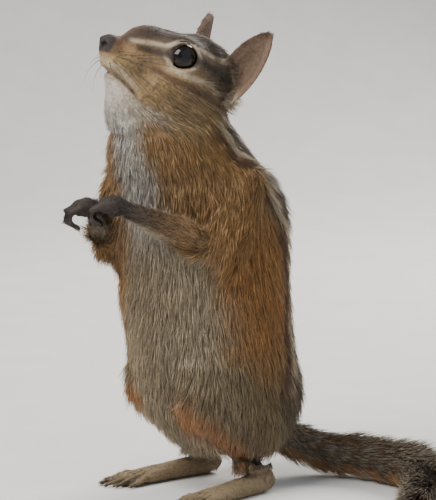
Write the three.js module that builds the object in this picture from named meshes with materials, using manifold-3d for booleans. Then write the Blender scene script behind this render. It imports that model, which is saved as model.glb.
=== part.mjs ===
// A life-size chipmunk standing upright on its hind legs, the forepaws held together at the chest and
// the head raised and turned a little to its own right. The tail lies back along the floor.
// Units are millimetres. +Z is up, the hind feet point along -Y and the floor is at z = 0.

import * as THREE from "three";
import { mergeVertices } from "three/addons/utils/BufferGeometryUtils.js";
import Module from "manifold-3d";

const wasm = await Module();
wasm.setup();

// Driving dimensions

// Everything touches its neighbour across this gap
const SEAM = 0.3;

// Head: the midpoint between the eyes, and how the head is held, in degrees
const EYE_MIDPOINT = new THREE.Vector3(-0.2, -11.2, 106.1);
const HEAD_YAW = -13;
const HEAD_PITCH = 20;
const HEAD_ROLL = 3;
const EYE_RADIUS = 3.7;
const EYE_SPREAD = 6.7;
const EAR_LENGTH = 19.5;
const EAR_HALF_WIDTH = 4.7;
const EAR_THICKNESS = 0.9;

// Each ear's root, forward of the eyes, out to its side and up, and the way it points
const EAR_HELD = {
  left: { base: [-13, 9, -3.6], lean: [-0.12, 0.42, 0.9] },
  right: { base: [-11.3, 9, -3.2], lean: [-0.1, 0.34, 0.94] },
};
const LID_OUT = 1.9;
const LID_THICKNESS = 1.24;
const NOSTRIL_RADII = [1.1, 0.6, 0.8];

// The line between the lips, from the front back: how far forward of the eyes and how high
const MOUTH_LINE = [[17.5, -8.0], [14.5, -8.5], [12, -9.2], [9.5, -10.4], [7.2, -12.0]];
const MOUTH_DEPTH = 1.1;
const MOUTH_GAP = 0.5;

// Trunk: how far the chest turns to the animal's left of the hind feet, in degrees
const CHEST_YAW = 20;
const HEAD_CUT = { height: 93.2, slope: 14 };
const NECK_CUT = { height: 80.5, slope: 8 };

// Limbs
const HIND_FOOT_LENGTH = 33;
const ANKLE_TOP = 5.6;
const TOE_LENGTH = 8.5;
const FINGER_LENGTH = 6.2;

// Tail: the line of its bones, from inside the rump to the last bone, and the length of its hair
const TAIL_LINE = [
  [0, 12, 19],
  [2.5, 21, 11.5],
  [8, 29, 7],
  [17, 35, 5.9],
  [28, 37, 5.6],
  [39, 34.5, 5.6],
  [49, 28, 5.1],
  [56, 19, 4.4],
];

// Locks of hair on the tail: how many rows and how many round each, their size, their lift in degrees, and
// the radius of the core they grow from
const TAIL_LOCK = { rows: 9, around: 5, length: 13, width: 3.4, thickness: 1.1, lift: 31, bend: 0.3 };
const TAIL_CORE = [[0, 4.8], [0.12, 4.2], [0.3, 3.3], [0.7, 2.9], [1, 1.8]];
const TAIL_CUTS = [0.3, 0.66];
const SEED = 7;

const degrees = THREE.MathUtils.degToRad;
const at = (x, y, z) => new THREE.Vector3(x, y, z);

// Mesh steps
const HEAD_STEP = 1.8;
const LIMB_STEP = 3.7;
const TRUNK_STEP = 4.2;
const WELD = 0.06;

// Frames that pieces are placed in

const upwards = at(0, 0, 1);

// The turn that carries x = forward, y = left, z = up to a part held with this yaw, pitch and roll
function heldTurn(yaw, pitch = 0, roll = 0) {
  const faceFront = new THREE.Quaternion().setFromAxisAngle(upwards, degrees(yaw - 90));
  const noseUp = new THREE.Quaternion().setFromAxisAngle(at(0, 1, 0), degrees(-pitch));
  const tilt = new THREE.Quaternion().setFromAxisAngle(at(1, 0, 0), degrees(-roll));
  return faceFront.multiply(noseUp).multiply(tilt);
}

const headTurn = heldTurn(HEAD_YAW, HEAD_PITCH, HEAD_ROLL);
const neckTurn = heldTurn(HEAD_YAW / 2);
const chestTurn = heldTurn(CHEST_YAW);
const hipTurn = heldTurn(0);
const chestCentre = at(-0.8, -4.6, 71);

// A point given as forward, left and up of the midpoint between the eyes
const inHead = (forward, left, up) => at(forward, left, up).applyQuaternion(headTurn).add(EYE_MIDPOINT);

// A point given as forward and left of the chest's axis, at a height above the floor
const atChest = (forward, left, height) => {
  const flat = at(forward, left, 0).applyQuaternion(chestTurn).add(chestCentre);
  return flat.setZ(height);
};

// Rounded forms: each is a function that gives a point's distance outside its surface, negative inside

function egg(centre, radii, turn = hipTurn) {
  const m = new THREE.Matrix4().makeRotationFromQuaternion(turn.clone().invert()).elements;
  const [a, b, c] = radii;
  return (x, y, z) => {
    const dx = x - centre.x;
    const dy = y - centre.y;
    const dz = z - centre.z;
    const p = (m[0] * dx + m[4] * dy + m[8] * dz) / a;
    const q = (m[1] * dx + m[5] * dy + m[9] * dz) / b;
    const r = (m[2] * dx + m[6] * dy + m[10] * dz) / c;
    const reach = Math.hypot(p, q, r);
    const slope = Math.hypot(p / a, q / b, r / c);
    return slope < 1e-9 ? -Math.min(a, b, c) : (reach * (reach - 1)) / slope;
  };
}

function taper(from, fromRadius, to, toRadius) {
  const along = to.clone().sub(from);
  const lengthSquared = along.lengthSq();
  return (x, y, z) => {
    const dx = x - from.x;
    const dy = y - from.y;
    const dz = z - from.z;
    const share = (dx * along.x + dy * along.y + dz * along.z) / lengthSquared;
    const t = Math.min(Math.max(share, 0), 1);
    const away = Math.hypot(dx - t * along.x, dy - t * along.y, dz - t * along.z);
    return away - (fromRadius + t * (toRadius - fromRadius));
  };
}

function softMinimum(a, b, width) {
  const share = Math.max(width - Math.abs(a - b), 0) / width;
  return Math.min(a, b) - (share * share * width) / 4;
}

function blended(width, forms) {
  return (x, y, z) => {
    let distance = forms[0](x, y, z);
    for (const form of forms.slice(1)) distance = softMinimum(distance, form(x, y, z), width);
    return distance;
  };
}

const swollen = (form, by) => (x, y, z) => form(x, y, z) - by;

// Meshes the surface of the part of a form that lies in a box: one vertex in each grid cell it crosses
function surfaceOf(open, low, high, step) {
  const rim = 1.5 * step;
  const form = (x, y, z) =>
    Math.max(
      open(x, y, z),
      low.x + rim - x,
      x - high.x + rim,
      low.y + rim - y,
      y - high.y + rim,
      low.z + rim - z,
      z - high.z + rim,
    );
  const count = ["x", "y", "z"].map((k) => Math.ceil((high[k] - low[k]) / step) + 1);
  const [nx, ny, nz] = count;
  const index = (i, j, k) => i + nx * (j + ny * k);
  const value = new Float64Array(nx * ny * nz);
  for (let k = 0; k < nz; k++)
    for (let j = 0; j < ny; j++)
      for (let i = 0; i < nx; i++)
        value[index(i, j, k)] = form(low.x + i * step, low.y + j * step, low.z + k * step);

  const corners = [0, 1, 2, 3, 4, 5, 6, 7].map((n) => [n & 1, (n >> 1) & 1, (n >> 2) & 1]);
  const edges = [];
  for (let a = 0; a < 8; a++) for (const bit of [1, 2, 4]) if (!(a & bit)) edges.push([a, a | bit]);

  const vertexOf = new Int32Array(nx * ny * nz).fill(-1);
  const positions = [];
  for (let k = 0; k < nz - 1; k++)
    for (let j = 0; j < ny - 1; j++)
      for (let i = 0; i < nx - 1; i++) {
        const v = corners.map(([a, b, c]) => value[index(i + a, j + b, k + c)]);
        const crossing = at(0, 0, 0);
        let crossings = 0;
        for (const [a, b] of edges) {
          if (v[a] < 0 === v[b] < 0) continue;
          const t = v[a] / (v[a] - v[b]);
          const from = at(...corners[a]);
          crossing.add(from.lerp(at(...corners[b]), t));
          crossings += 1;
        }
        if (!crossings) continue;
        crossing.divideScalar(crossings).add(at(i, j, k)).multiplyScalar(step).add(low);
        vertexOf[index(i, j, k)] = positions.length;
        positions.push(ontoSurface(form, crossing, step));
      }

  const faces = [];
  const quad = (a, b, c, d) => {
    const acrossFirst = positions[a].distanceTo(positions[c]) <= positions[b].distanceTo(positions[d]);
    if (acrossFirst) faces.push(a, b, c, a, c, d);
    else faces.push(a, b, d, b, c, d);
  };
  const stride = [1, nx, nx * ny];
  for (let k = 1; k < nz - 1; k++)
    for (let j = 1; j < ny - 1; j++)
      for (let i = 1; i < nx - 1; i++)
        for (let axis = 0; axis < 3; axis++) {
          const here = index(i, j, k);
          const inside = value[here] < 0;
          if (inside === value[here + stride[axis]] < 0) continue;
          const [u, w] = [stride[(axis + 1) % 3], stride[(axis + 2) % 3]];
          const around = [here - u - w, here - w, here, here - u].map((cell) => vertexOf[cell]);
          if (!inside) around.reverse();
          quad(...around);
        }
  return geometryFrom(positions, faces);
}

// Slides a point along the form's slope until it lies on the surface
function ontoSurface(form, point, step) {
  const reach = step * 0.05;
  for (let pass = 0; pass < 2; pass++) {
    const { x, y, z } = point;
    const slope = at(
      form(x + reach, y, z) - form(x - reach, y, z),
      form(x, y + reach, z) - form(x, y - reach, z),
      form(x, y, z + reach) - form(x, y, z - reach),
    ).divideScalar(2 * reach);
    const shift = THREE.MathUtils.clamp(form(x, y, z), -step / 2, step / 2);
    point.addScaledVector(slope, -shift / Math.max(slope.lengthSq(), 0.1));
  }
  return point;
}

function geometryFrom(positions, faces) {
  const geometry = new THREE.BufferGeometry().setFromPoints(positions);
  geometry.setIndex(faces);
  return geometry;
}

// Joins rings of points, each with as many points, into one closed tube with flat ends
function loft(rings) {
  const sides = rings[0].length;
  const positions = rings.flat();
  const faces = [];
  for (let r = 0; r < rings.length - 1; r++)
    for (let s = 0; s < sides; s++) {
      const a = r * sides + s;
      const b = r * sides + ((s + 1) % sides);
      faces.push(a, b, b + sides, a, b + sides, a + sides);
    }
  for (const [ring, first] of [[0, true], [rings.length - 1, false]]) {
    const centre = rings[ring].reduce((sum, p) => sum.add(p), at(0, 0, 0)).divideScalar(sides);
    const hub = positions.push(centre) - 1;
    for (let s = 0; s < sides; s++) {
      const a = ring * sides + s;
      const b = ring * sides + ((s + 1) % sides);
      if (first) faces.push(hub, b, a);
      else faces.push(hub, a, b);
    }
  }
  return geometryFrom(positions, faces);
}

// A closed tube through stations {at, wide, high}. "up" says which way its height points.
function tube(stations, up, sides) {
  const rings = stations.map((station, i) => {
    const before = stations[Math.max(i - 1, 0)].at;
    const after = stations[Math.min(i + 1, stations.length - 1)].at;
    const along = after.clone().sub(before).normalize();
    const side = up.clone().cross(along).normalize();
    const over = along.clone().cross(side);
    return Array.from({ length: sides }, (_, s) => {
      const angle = (2 * Math.PI * (s + 0.5)) / sides;
      return station.at
        .clone()
        .addScaledVector(side, Math.cos(angle) * station.wide)
        .addScaledVector(over, Math.sin(angle) * station.high);
    });
  });
  return loft(rings);
}

// A sheet with a front and a back, both grids of points with the same rows and columns
function sheet(front, back) {
  const rows = front.length;
  const columns = front[0].length;
  const positions = [...front.flat(), ...back.flat()];
  const behind = rows * columns;
  const faces = [];
  const quad = (a, b, c, d) => faces.push(a, b, c, a, c, d);
  for (let i = 0; i < rows - 1; i++)
    for (let j = 0; j < columns - 1; j++) {
      const a = i * columns + j;
      quad(a, a + 1, a + 1 + columns, a + columns);
      quad(a + behind, a + columns + behind, a + 1 + columns + behind, a + 1 + behind);
    }
  const rim = [];
  for (let j = 0; j < columns; j++) rim.push(j);
  for (let i = 1; i < rows; i++) rim.push(i * columns + columns - 1);
  for (let j = columns - 2; j >= 0; j--) rim.push((rows - 1) * columns + j);
  for (let i = rows - 2; i > 0; i--) rim.push(i * columns);
  rim.forEach((a, n) => {
    const b = rim[(n + 1) % rim.length];
    quad(b, a, a + behind, b + behind);
  });
  return geometryFrom(positions, faces);
}

// Solids: closed meshes that can be joined and cut

function solid(geometry) {
  const bare = new THREE.BufferGeometry();
  bare.setAttribute("position", geometry.getAttribute("position"));
  if (geometry.index) bare.setIndex(geometry.index);
  const merged = mergeVertices(bare, 1e-4);
  const made = new wasm.Manifold(
    new wasm.Mesh({
      numProp: 3,
      vertProperties: new Float32Array(merged.attributes.position.array),
      triVerts: new Uint32Array(merged.index.array),
    }),
  );
  if (made.volume() < 0) throw new Error("a form is inside out");
  return made;
}

const joined = (solids) => solids.reduce((whole, piece) => whole.add(piece));
const largest = (whole) => whole.decompose().reduce((a, b) => (a.volume() > b.volume() ? a : b));

function ellipsoid(centre, radii, turn = hipTurn, segments = 28) {
  const geometry = new THREE.SphereGeometry(1, segments, Math.round(segments * 0.6));
  const place = new THREE.Matrix4().compose(centre, turn, at(...radii));
  return solid(geometry.applyMatrix4(place));
}

function block(centre, size, turn = hipTurn) {
  const place = new THREE.Matrix4().compose(centre, turn, at(1, 1, 1));
  return solid(new THREE.BoxGeometry(...size).applyMatrix4(place));
}

// All of the space past a point in a direction, as a large block
function past(point, direction) {
  const reach = 120;
  const turn = new THREE.Quaternion().setFromUnitVectors(upwards, direction.clone().normalize());
  const centre = at(0, 0, reach / 2).applyQuaternion(turn).add(point);
  return block(centre, [reach, reach, reach], turn);
}

const grown = (radii, by) => radii.map((r) => r + by);

// Closes up every edge shorter than the weld distance, then drops the faces that close with it or fold
// flat onto one another
function welded(positions, faces) {
  const home = positions.map((_, i) => i);
  const homeOf = (i) => (home[i] === i ? i : (home[i] = homeOf(home[i])));
  for (let i = 0; i < faces.length; i++) {
    const j = i % 3 === 2 ? i - 2 : i + 1;
    const [a, b] = [homeOf(faces[i]), homeOf(faces[j])];
    if (a !== b && positions[faces[i]].distanceTo(positions[faces[j]]) < WELD) home[b] = a;
  }
  const kept = new Map();
  for (let i = 0; i < faces.length; i += 3) {
    const face = [faces[i], faces[i + 1], faces[i + 2]].map(homeOf);
    if (new Set(face).size < 3) continue;
    const key = [...face].sort((a, b) => a - b).join();
    if (kept.has(key)) kept.delete(key);
    else kept.set(key, face);
  }
  return geometryFrom(positions, [...kept.values()].flat());
}

function meshOf(name, made, { colour, roughness = 0.85 }) {
  const { numProp, vertProperties, triVerts } = largest(made).getMesh();
  const positions = [];
  for (let i = 0; i < vertProperties.length; i += numProp)
    positions.push(at(vertProperties[i], vertProperties[i + 1], vertProperties[i + 2]));
  const geometry = welded(positions, Array.from(triVerts));
  const material = new THREE.MeshStandardMaterial({ color: colour, roughness, metalness: 0 });
  const mesh = new THREE.Mesh(geometry, material);
  mesh.name = name;
  return mesh;
}

const coat = {
  face: { colour: 0x7a6044 },
  throat: { colour: 0x8c8478 },
  back: { colour: 0x6e5236 },
  belly: { colour: 0x8b7c68 },
  limb: { colour: 0x7d5a34 },
  paw: { colour: 0x5c4c3e },
  tail: { colour: 0x5a4a38 },
  ear: { colour: 0x7c5c4c },
  eye: { colour: 0x0d0b0a, roughness: 0.08 },
};

// Trunk: hips, belly, chest and neck, one form that the limbs grow from

// A turn whose x axis follows the line from one point to another and whose z axis stays as upright as it can
function turnAlong(from, to) {
  const x = to.clone().sub(from).normalize();
  const y = upwards.clone().cross(x).normalize();
  const z = x.clone().cross(y);
  return new THREE.Quaternion().setFromRotationMatrix(new THREE.Matrix4().makeBasis(x, y, z));
}

const shoulders = { left: atChest(1, 15, 75), right: atChest(1, -15, 75) };
const elbows = { left: atChest(12, 16, 61), right: atChest(11, -16, 61) };
const wrists = { left: at(7, -30.5, 71.5), right: at(-4, -30, 70) };
const handsPoint = { left: at(-0.68, -0.72, 0), right: at(-0.35, -0.93, 0) };
const hips = { left: at(11, 9, 31), right: at(-11, 12, 31) };
const knees = { left: at(13.5, -15, 26), right: at(-11, -10, 25.5) };
const ankles = { left: at(12.5, 7.5, 6), right: at(-11.5, 11, 6) };

const trunk = blended(8, [
  egg(at(0.6, 2, 28.5), [20.5, 20.5, 18], hipTurn),
  egg(at(1, 7.5, 20.5), [17.5, 16.5, 14.5], hipTurn),
  egg(at(0.4, 0, 44), [21.5, 21, 20], heldTurn(CHEST_YAW * 0.8)),
  egg(at(-0.2, -1.8, 58), [20.8, 21, 18], chestTurn),
  egg(chestCentre, [18.6, 19.4, 16], chestTurn),
  egg(at(2, 3.4, 65.5), [15.5, 15.5, 15], chestTurn),
  egg(at(-1, -9.8, 84), [16.2, 15.6, 15], neckTurn),
]);
const thighOf = (side) => ({
  centre: hips[side].clone().lerp(knees[side], 0.48),
  turn: turnAlong(hips[side], knees[side]),
});

// The muscle behind the shank, from the knee down to the heel
const haunchOf = (side) => ({
  centre: knees[side].clone().lerp(ankles[side], 0.5).add(at(0, 4.5, 4.5)),
  turn: turnAlong(knees[side], ankles[side]),
});
const thighRadii = [18, 7.6, 11.5];
const haunchRadii = [14.5, 7.6, 9.5];
const CELL_MARGIN = 2;
const limbRoots = ["left", "right"].flatMap((side) => [
  taper(shoulders[side], 7.5, elbows[side], 4.8),
  egg(thighOf(side).centre, thighRadii, thighOf(side).turn),
  egg(haunchOf(side).centre, haunchRadii, haunchOf(side).turn),
]);
const trunkWithRoots = blended(4, [trunk, ...limbRoots]);

// Head: cranium, snout, jaw and cheeks

const head = blended(2.2, [
  egg(inHead(-7.5, 0, -2), [12.2, 10.2, 9.2], headTurn),
  egg(inHead(3, 0, -0.5), [9.5, 5.8, 6.2], headTurn),
  taper(inHead(3, 0, -2.6), 5.8, inHead(13.6, 0, -3.9), 3.2),
  egg(inHead(0.5, 4.4, 0.2), [5.8, 4.3, 4.9], headTurn),
  egg(inHead(0.5, -4.4, 0.2), [5.8, 4.3, 4.9], headTurn),
  egg(inHead(15.8, 0, -2.5), [2.5, 2.6, 2.3], headTurn),
  egg(inHead(11.2, 2.2, -6.4), [4.2, 2.4, 2.7], headTurn),
  egg(inHead(11.2, -2.2, -6.4), [4.2, 2.4, 2.7], headTurn),
  taper(inHead(11.2, 0, -9.6), 1.9, inHead(-3, 0, -10.2), 6.4),
  egg(inHead(-3.8, 6, -6.8), [8.4, 5.7, 6.6], headTurn),
  egg(inHead(-3.8, -6, -6.8), [8.4, 5.7, 6.6], headTurn),
]);
const throat = taper(inHead(4, 0, -14), 7.4, atChest(8, -2, 84), 12);
const wholeForm = blended(5, [trunkWithRoots, throat, head]);

// Nodes of the head

const eyeCentres = { left: inHead(0, EYE_SPREAD, 0), right: inHead(0, -EYE_SPREAD, 0) };
const sides = [["left", 1], ["right", -1]];

// A point and a direction for a cut across the neck that drops towards the throat, moved up by half a seam
function neckCut({ height, slope }, halfSeams) {
  const direction = at(0, -Math.sin(degrees(slope)), Math.cos(degrees(slope)));
  return [at(0, -10, height).addScaledVector(direction, (halfSeams * SEAM) / 2), direction];
}

function headNode() {
  const low = at(-26, -38, HEAD_CUT.height - 10);
  const whole = solid(surfaceOf(wholeForm, low, at(26, 18, 120), HEAD_STEP));
  let node = whole.intersect(past(...neckCut(HEAD_CUT, 1)));

  const lids = sides.map(([side, way]) => {
    const ring = new THREE.TorusGeometry(EYE_RADIUS * 0.9, LID_THICKNESS / 2, 6, 20);
    ring.rotateX(Math.PI / 2).scale(1.06, 1, 0.9);
    const place = inHead(0, way * (EYE_SPREAD + LID_OUT), 0);
    ring.applyMatrix4(new THREE.Matrix4().compose(place, headTurn, at(1, 1, 1)));
    return solid(ring);
  });
  node = node.add(joined(lids));

  const socketRadii = Array(3).fill(EYE_RADIUS + SEAM);
  const sockets = sides.map(([side]) => ellipsoid(eyeCentres[side], socketRadii, headTurn, 18));
  const nostrilAt = (way) => inHead(17.4, way * 1.5, -3.4);
  const nostrils = sides.map(([, way]) => ellipsoid(nostrilAt(way), NOSTRIL_RADII, headTurn, 10));
  return largest(node.subtract(joined([...sockets, ...nostrils, mouthLine(whole)])));
}

// The line between the lips: a thin bent blade that cuts a groove round the front of the snout
function mouthLine(whole) {
  const row = (forward, height) => [-12, 12].map((left) => inHead(forward, left, height));
  const rows = (up) => MOUTH_LINE.map(([forward, height]) => row(forward, height + up));
  const blade = solid(sheet(rows(MOUTH_GAP / 2), rows(-MOUTH_GAP / 2)));
  const low = at(-20, -40, HEAD_CUT.height - 8);
  const core = solid(surfaceOf(swollen(wholeForm, -MOUTH_DEPTH), low, at(20, 0, 116), HEAD_STEP));
  return blade.subtract(core);
}

const headSolid = headNode();
const earRootForm = swollen(wholeForm, SEAM);

// An ear is a cupped leaf, widest at two fifths of its length, that opens forwards and outwards
function earNode(side, way, headGrown) {
  const { base: [forward, out, up], lean } = EAR_HELD[side];
  const base = inHead(forward, way * out, up);
  const along = at(lean[0], way * lean[1], lean[2]).applyQuaternion(headTurn).normalize();
  const facing = at(0.8, way * 0.6, -0.1).applyQuaternion(headTurn).normalize();
  const across = along.clone().cross(facing).normalize();
  const outward = across.clone().cross(along).normalize();
  const [rows, columns] = [9, 8];
  const grid = (thicknessShare) =>
    Array.from({ length: rows + 1 }, (_, i) => {
      const t = i / rows;
      const half = EAR_HALF_WIDTH * Math.pow(Math.sin(Math.PI * (0.17 + 0.815 * t)), 0.55);
      return Array.from({ length: columns + 1 }, (_, j) => {
        const s = (2 * j) / columns - 1;
        const cup = 2.6 * (1 - t * 0.6) * (s * s - 1) * (half / EAR_HALF_WIDTH);
        const thin = EAR_THICKNESS * (1 - 0.45 * t) * (1 - 0.35 * s * s);
        return base
          .clone()
          .addScaledVector(along, EAR_LENGTH * (t - 0.12))
          .addScaledVector(across, s * half)
          .addScaledVector(outward, cup + 1.2 * s * s - thicknessShare * thin - 1.5 * t * t);
      });
    });
  const front = grid(0);
  const back = grid(1);
  const leaf = solid(sheet(front, back));
  return largest(leaf.subtract(headGrown));
}

const headGrown = solid(surfaceOf(earRootForm, at(-28, -40, 88), at(28, 20, 122), HEAD_STEP));
const eyeSolid = (side) => ellipsoid(eyeCentres[side], Array(3).fill(EYE_RADIUS), headTurn, 16);

// Cells that divide the limbs' roots from the trunk

// A tube with rounded ends about the upper arm, grown by a distance
function armCell(side, grow) {
  const down = elbows[side].clone().sub(shoulders[side]);
  const stations = [
    [-0.38, 3],
    [-0.3, 5.6],
    [-0.1, 7.4],
    [0.3, 7.6],
    [0.75, 7],
    [1.05, 6],
    [1.22, 4.4],
    [1.3, 2.2],
  ].map(([share, radius]) => ({
    at: shoulders[side].clone().addScaledVector(down, share + Math.sign(share - 0.5) * grow * 0.05),
    wide: radius + grow,
    high: radius + grow,
  }));
  return solid(tube(stations, at(0, -1, 0), 16));
}
const armMiddle = (side) => shoulders[side].clone().lerp(elbows[side], 0.5);
const thighCell = (side, grow) =>
  joined([
    ellipsoid(thighOf(side).centre, grown(thighRadii, CELL_MARGIN + grow), thighOf(side).turn, 16),
    ellipsoid(haunchOf(side).centre, grown(haunchRadii, CELL_MARGIN + grow), haunchOf(side).turn, 14),
  ]);

function rootNode(cell, centre, reach, step) {
  const low = centre.clone().subScalar(reach);
  const near = solid(surfaceOf(trunkWithRoots, low, centre.clone().addScalar(reach), step));
  return largest(near.intersect(cell));
}

function trunkNodes() {
  const whole = solid(surfaceOf(wholeForm, at(-30, -36, 2), at(30, 30, 118), TRUNK_STEP));
  const rootCells = sides.flatMap(([side]) => [armCell(side, SEAM), thighCell(side, SEAM)]);
  const rest = whole.subtract(joined(rootCells));
  return {
    torso: largest(rest.subtract(past(...neckCut(NECK_CUT, -1)))),
    neck: largest(rest.intersect(past(...neckCut(NECK_CUT, 1))).subtract(past(...neckCut(HEAD_CUT, -1)))),
  };
}

// Forelimbs

const trunkGrown = solid(
  surfaceOf(swollen(trunkWithRoots, SEAM), at(-32, -38, 2), at(32, 32, 100), LIMB_STEP),
);

function forearmNode(side) {
  const from = elbows[side];
  const to = wrists[side];
  const stations = [[0, 4.2], [0.12, 4.6], [0.35, 4.3], [0.65, 3.4], [0.9, 2.6], [1, 2.4]].map(
    ([share, radius]) => ({ at: from.clone().lerp(to, share), wide: radius, high: radius }),
  );
  return largest(solid(tube(stations, upwards, 12)).subtract(joined([armCell(side, SEAM), trunkGrown])));
}

// A digit bends through its stations and ends in a claw
function digit(points, radius, claw) {
  const stations = points.map((point, i) => {
    const share = i / (points.length - 1);
    const r = radius * (i === points.length - 1 ? 0.55 : 1 - 0.2 * share);
    return { at: point, wide: r, high: r };
  });
  const last = points.at(-1);
  const clawUp = claw.clone().setZ(claw.z + 0.6);
  const root = last.clone().lerp(points.at(-2), 0.5);
  const nailStations = [
    { at: root, wide: 0.5 * radius, high: 0.6 * radius },
    { at: last.clone().addScaledVector(clawUp, 0.5), wide: 0.42 * radius, high: 0.5 * radius },
    { at: last.clone().add(claw), wide: 0.12 * radius, high: 0.14 * radius },
  ];
  return joined([solid(tube(stations, upwards, 6)), solid(tube(nailStations, upwards, 5))]);
}

function handNode(side) {
  const wrist = wrists[side];
  const reach = wrist.clone().sub(elbows[side]).normalize();
  const start = wrist.clone().addScaledVector(reach, SEAM);
  const ahead = handsPoint[side].clone().normalize();
  const knuckles = start.clone().addScaledVector(ahead, 4.6).add(at(0, 0, 0.6));
  const palm = [
    { at: start.clone().addScaledVector(reach, -1), wide: 2.4, high: 2.4 },
    { at: start.clone().lerp(knuckles, 0.5).add(at(0, 0, 0.5)), wide: 3.0, high: 2.3 },
    { at: knuckles, wide: 3.1, high: 2.0 },
    { at: knuckles.clone().addScaledVector(ahead, 0.9), wide: 2.4, high: 1.3 },
  ];
  const spread = ahead.clone().cross(upwards).normalize();
  const fingers = [-1.5, -0.5, 0.5, 1.5].map((place) => {
    const root = knuckles.clone().addScaledVector(spread, place * 1.35);
    const joint = (from, forward, down) =>
      from.clone().addScaledVector(ahead, FINGER_LENGTH * forward).add(at(0, 0, -FINGER_LENGTH * down));
    const middle = joint(root, 0.36, 0.145);
    const end = joint(middle, 0.04, 0.38);
    const tip = joint(end, -0.24, 0.14);
    return digit([root, middle, end, tip], 0.92, ahead.clone().multiplyScalar(-1.1).add(at(0, 0, -0.9)));
  });
  return joined([solid(tube(palm, upwards, 10)), ...fingers]).subtract(past(start, reach.negate()));
}

// Hind limbs

function shankNode(side) {
  const from = knees[side];
  const to = ankles[side];
  const stations = [[0, 6], [0.3, 6], [0.6, 5.2], [0.85, 4.2], [1, 3.3]].map(([share, radius]) => ({
    at: from.clone().lerp(to, share),
    wide: radius * 0.9,
    high: radius,
  }));
  const ankleCut = past(to.clone().setZ(ANKLE_TOP + SEAM), at(0, 0, -1));
  const whole = solid(tube(stations, at(1, 0, 0), 12));
  return largest(whole.subtract(joined([thighCell(side, SEAM), trunkGrown, ankleCut])));
}

function footNode(side, way) {
  const heel = at(ankles[side].x, ankles[side].y + 2.6, 0);
  const ball = heel.clone().add(at(way * 2.6, -(HIND_FOOT_LENGTH - TOE_LENGTH), 0));
  const stations = [
    [0, 1.5, 1.6, 2.0],
    [0.07, 2.5, 2.9, 3.2],
    [0.16, 2.8, 3.3, 3],
    [0.35, 2.7, 2.6, 2.3],
    [0.65, 3.3, 2.2, 1.9],
    [0.9, 4.1, 1.9, 1.6],
    [1, 3.6, 1.5, 1.5],
  ].map(([share, wide, high, lift]) => ({ at: heel.clone().lerp(ball, share).setZ(lift), wide, high }));
  const sole = solid(tube(stations, upwards, 12));
  const toes = [-2, -1, 0, 1, 2].map((place) => {
    const length = TOE_LENGTH * [0.82, 1, 1.04, 0.98, 0.72][place + 2];
    const root = ball.clone().add(at(place * 1.5, 1.6 + Math.abs(place) * 0.6, 1.5));
    const ahead = at(way * 0.1 + place * 0.13, -1, 0).normalize();
    const points = [0, 0.35, 0.7, 0.92].map((share, i) =>
      root.clone().addScaledVector(ahead, share * length).setZ([1.5, 1.9, 1.3, 0.9][i]),
    );
    return digit(points, 1.05, ahead.clone().multiplyScalar(2.2).add(at(0, 0, -0.45)));
  });
  const leg = past(ankles[side].clone().setZ(ANKLE_TOP), upwards);
  const below = past(at(0, 0, 0), at(0, 0, -1));
  return largest(joined([sole, ...toes]).subtract(joined([leg, below])));
}

// Tail: a core of flesh under flat, tapered, overlapping locks of hair

const tailCurve = new THREE.CatmullRomCurve3(TAIL_LINE.map((p) => at(...p)));

// Even numbers between -1 and 1, the same in every run
function dice(seed) {
  let state = seed;
  return () => {
    state = (state * 16807) % 2147483647;
    return (2 * state) / 2147483647 - 1;
  };
}

// The value at a share along a list of [share, value] pairs
function between(pairs, share) {
  const next = Math.max(1, pairs.findIndex(([s]) => s >= share));
  const [[s0, v0], [s1, v1]] = [pairs[next - 1], pairs[next]];
  return v0 + ((v1 - v0) * (share - s0)) / (s1 - s0);
}

function tailCore() {
  const steps = 20;
  const stations = Array.from({ length: steps + 1 }, (_, i) => {
    const radius = between(TAIL_CORE, i / steps);
    return { at: tailCurve.getPointAt(i / steps), wide: radius, high: radius };
  });
  return solid(tube(stations, upwards, 8));
}

// A flat lock that starts under the core's skin, leaves it backwards and outwards, and bends towards the tip
function lock(root, ahead, outward, size) {
  const { length, width, thickness, lift } = size;
  const stations = [[0, 0.75], [0.5, 1], [1, 0.14]].map(([share, taper]) => ({
    at: root
      .clone()
      .addScaledVector(ahead, Math.cos(lift) * length * share)
      .addScaledVector(outward, Math.sin(lift) * length * share * (1 - TAIL_LOCK.bend * share)),
    wide: (width / 2) * taper,
    high: (thickness / 2) * taper,
  }));
  return solid(tube(stations, outward, 4));
}

function tailLocks() {
  const random = dice(SEED);
  const locks = [];
  for (let row = 0; row < TAIL_LOCK.rows; row++) {
    const share = 0.14 + (0.84 * row) / (TAIL_LOCK.rows - 1);
    const point = tailCurve.getPointAt(share);
    const ahead = tailCurve.getTangentAt(share);
    const side = upwards.clone().cross(ahead).normalize();
    const over = ahead.clone().cross(side);
    const growth = Math.min(1, 0.55 + share);
    for (let place = 0; place < TAIL_LOCK.around; place++) {
      const angle = (2 * Math.PI * (place + (row % 2) / 2 + 0.12 * random())) / TAIL_LOCK.around;
      const outward = side.clone().multiplyScalar(Math.sin(angle)).addScaledVector(over, Math.cos(angle));
      const lean = ahead.clone().addScaledVector(outward.clone().cross(ahead), 0.16 * random()).normalize();
      locks.push(
        lock(point.clone().addScaledVector(outward, between(TAIL_CORE, share) * 0.6), lean, outward, {
          length: TAIL_LOCK.length * growth * (1 + 0.1 * random()),
          width: TAIL_LOCK.width * growth,
          thickness: TAIL_LOCK.thickness,
          lift: degrees(TAIL_LOCK.lift * (1 - 0.35 * share + 0.12 * random())),
        }),
      );
    }
  }
  return locks;
}

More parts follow.
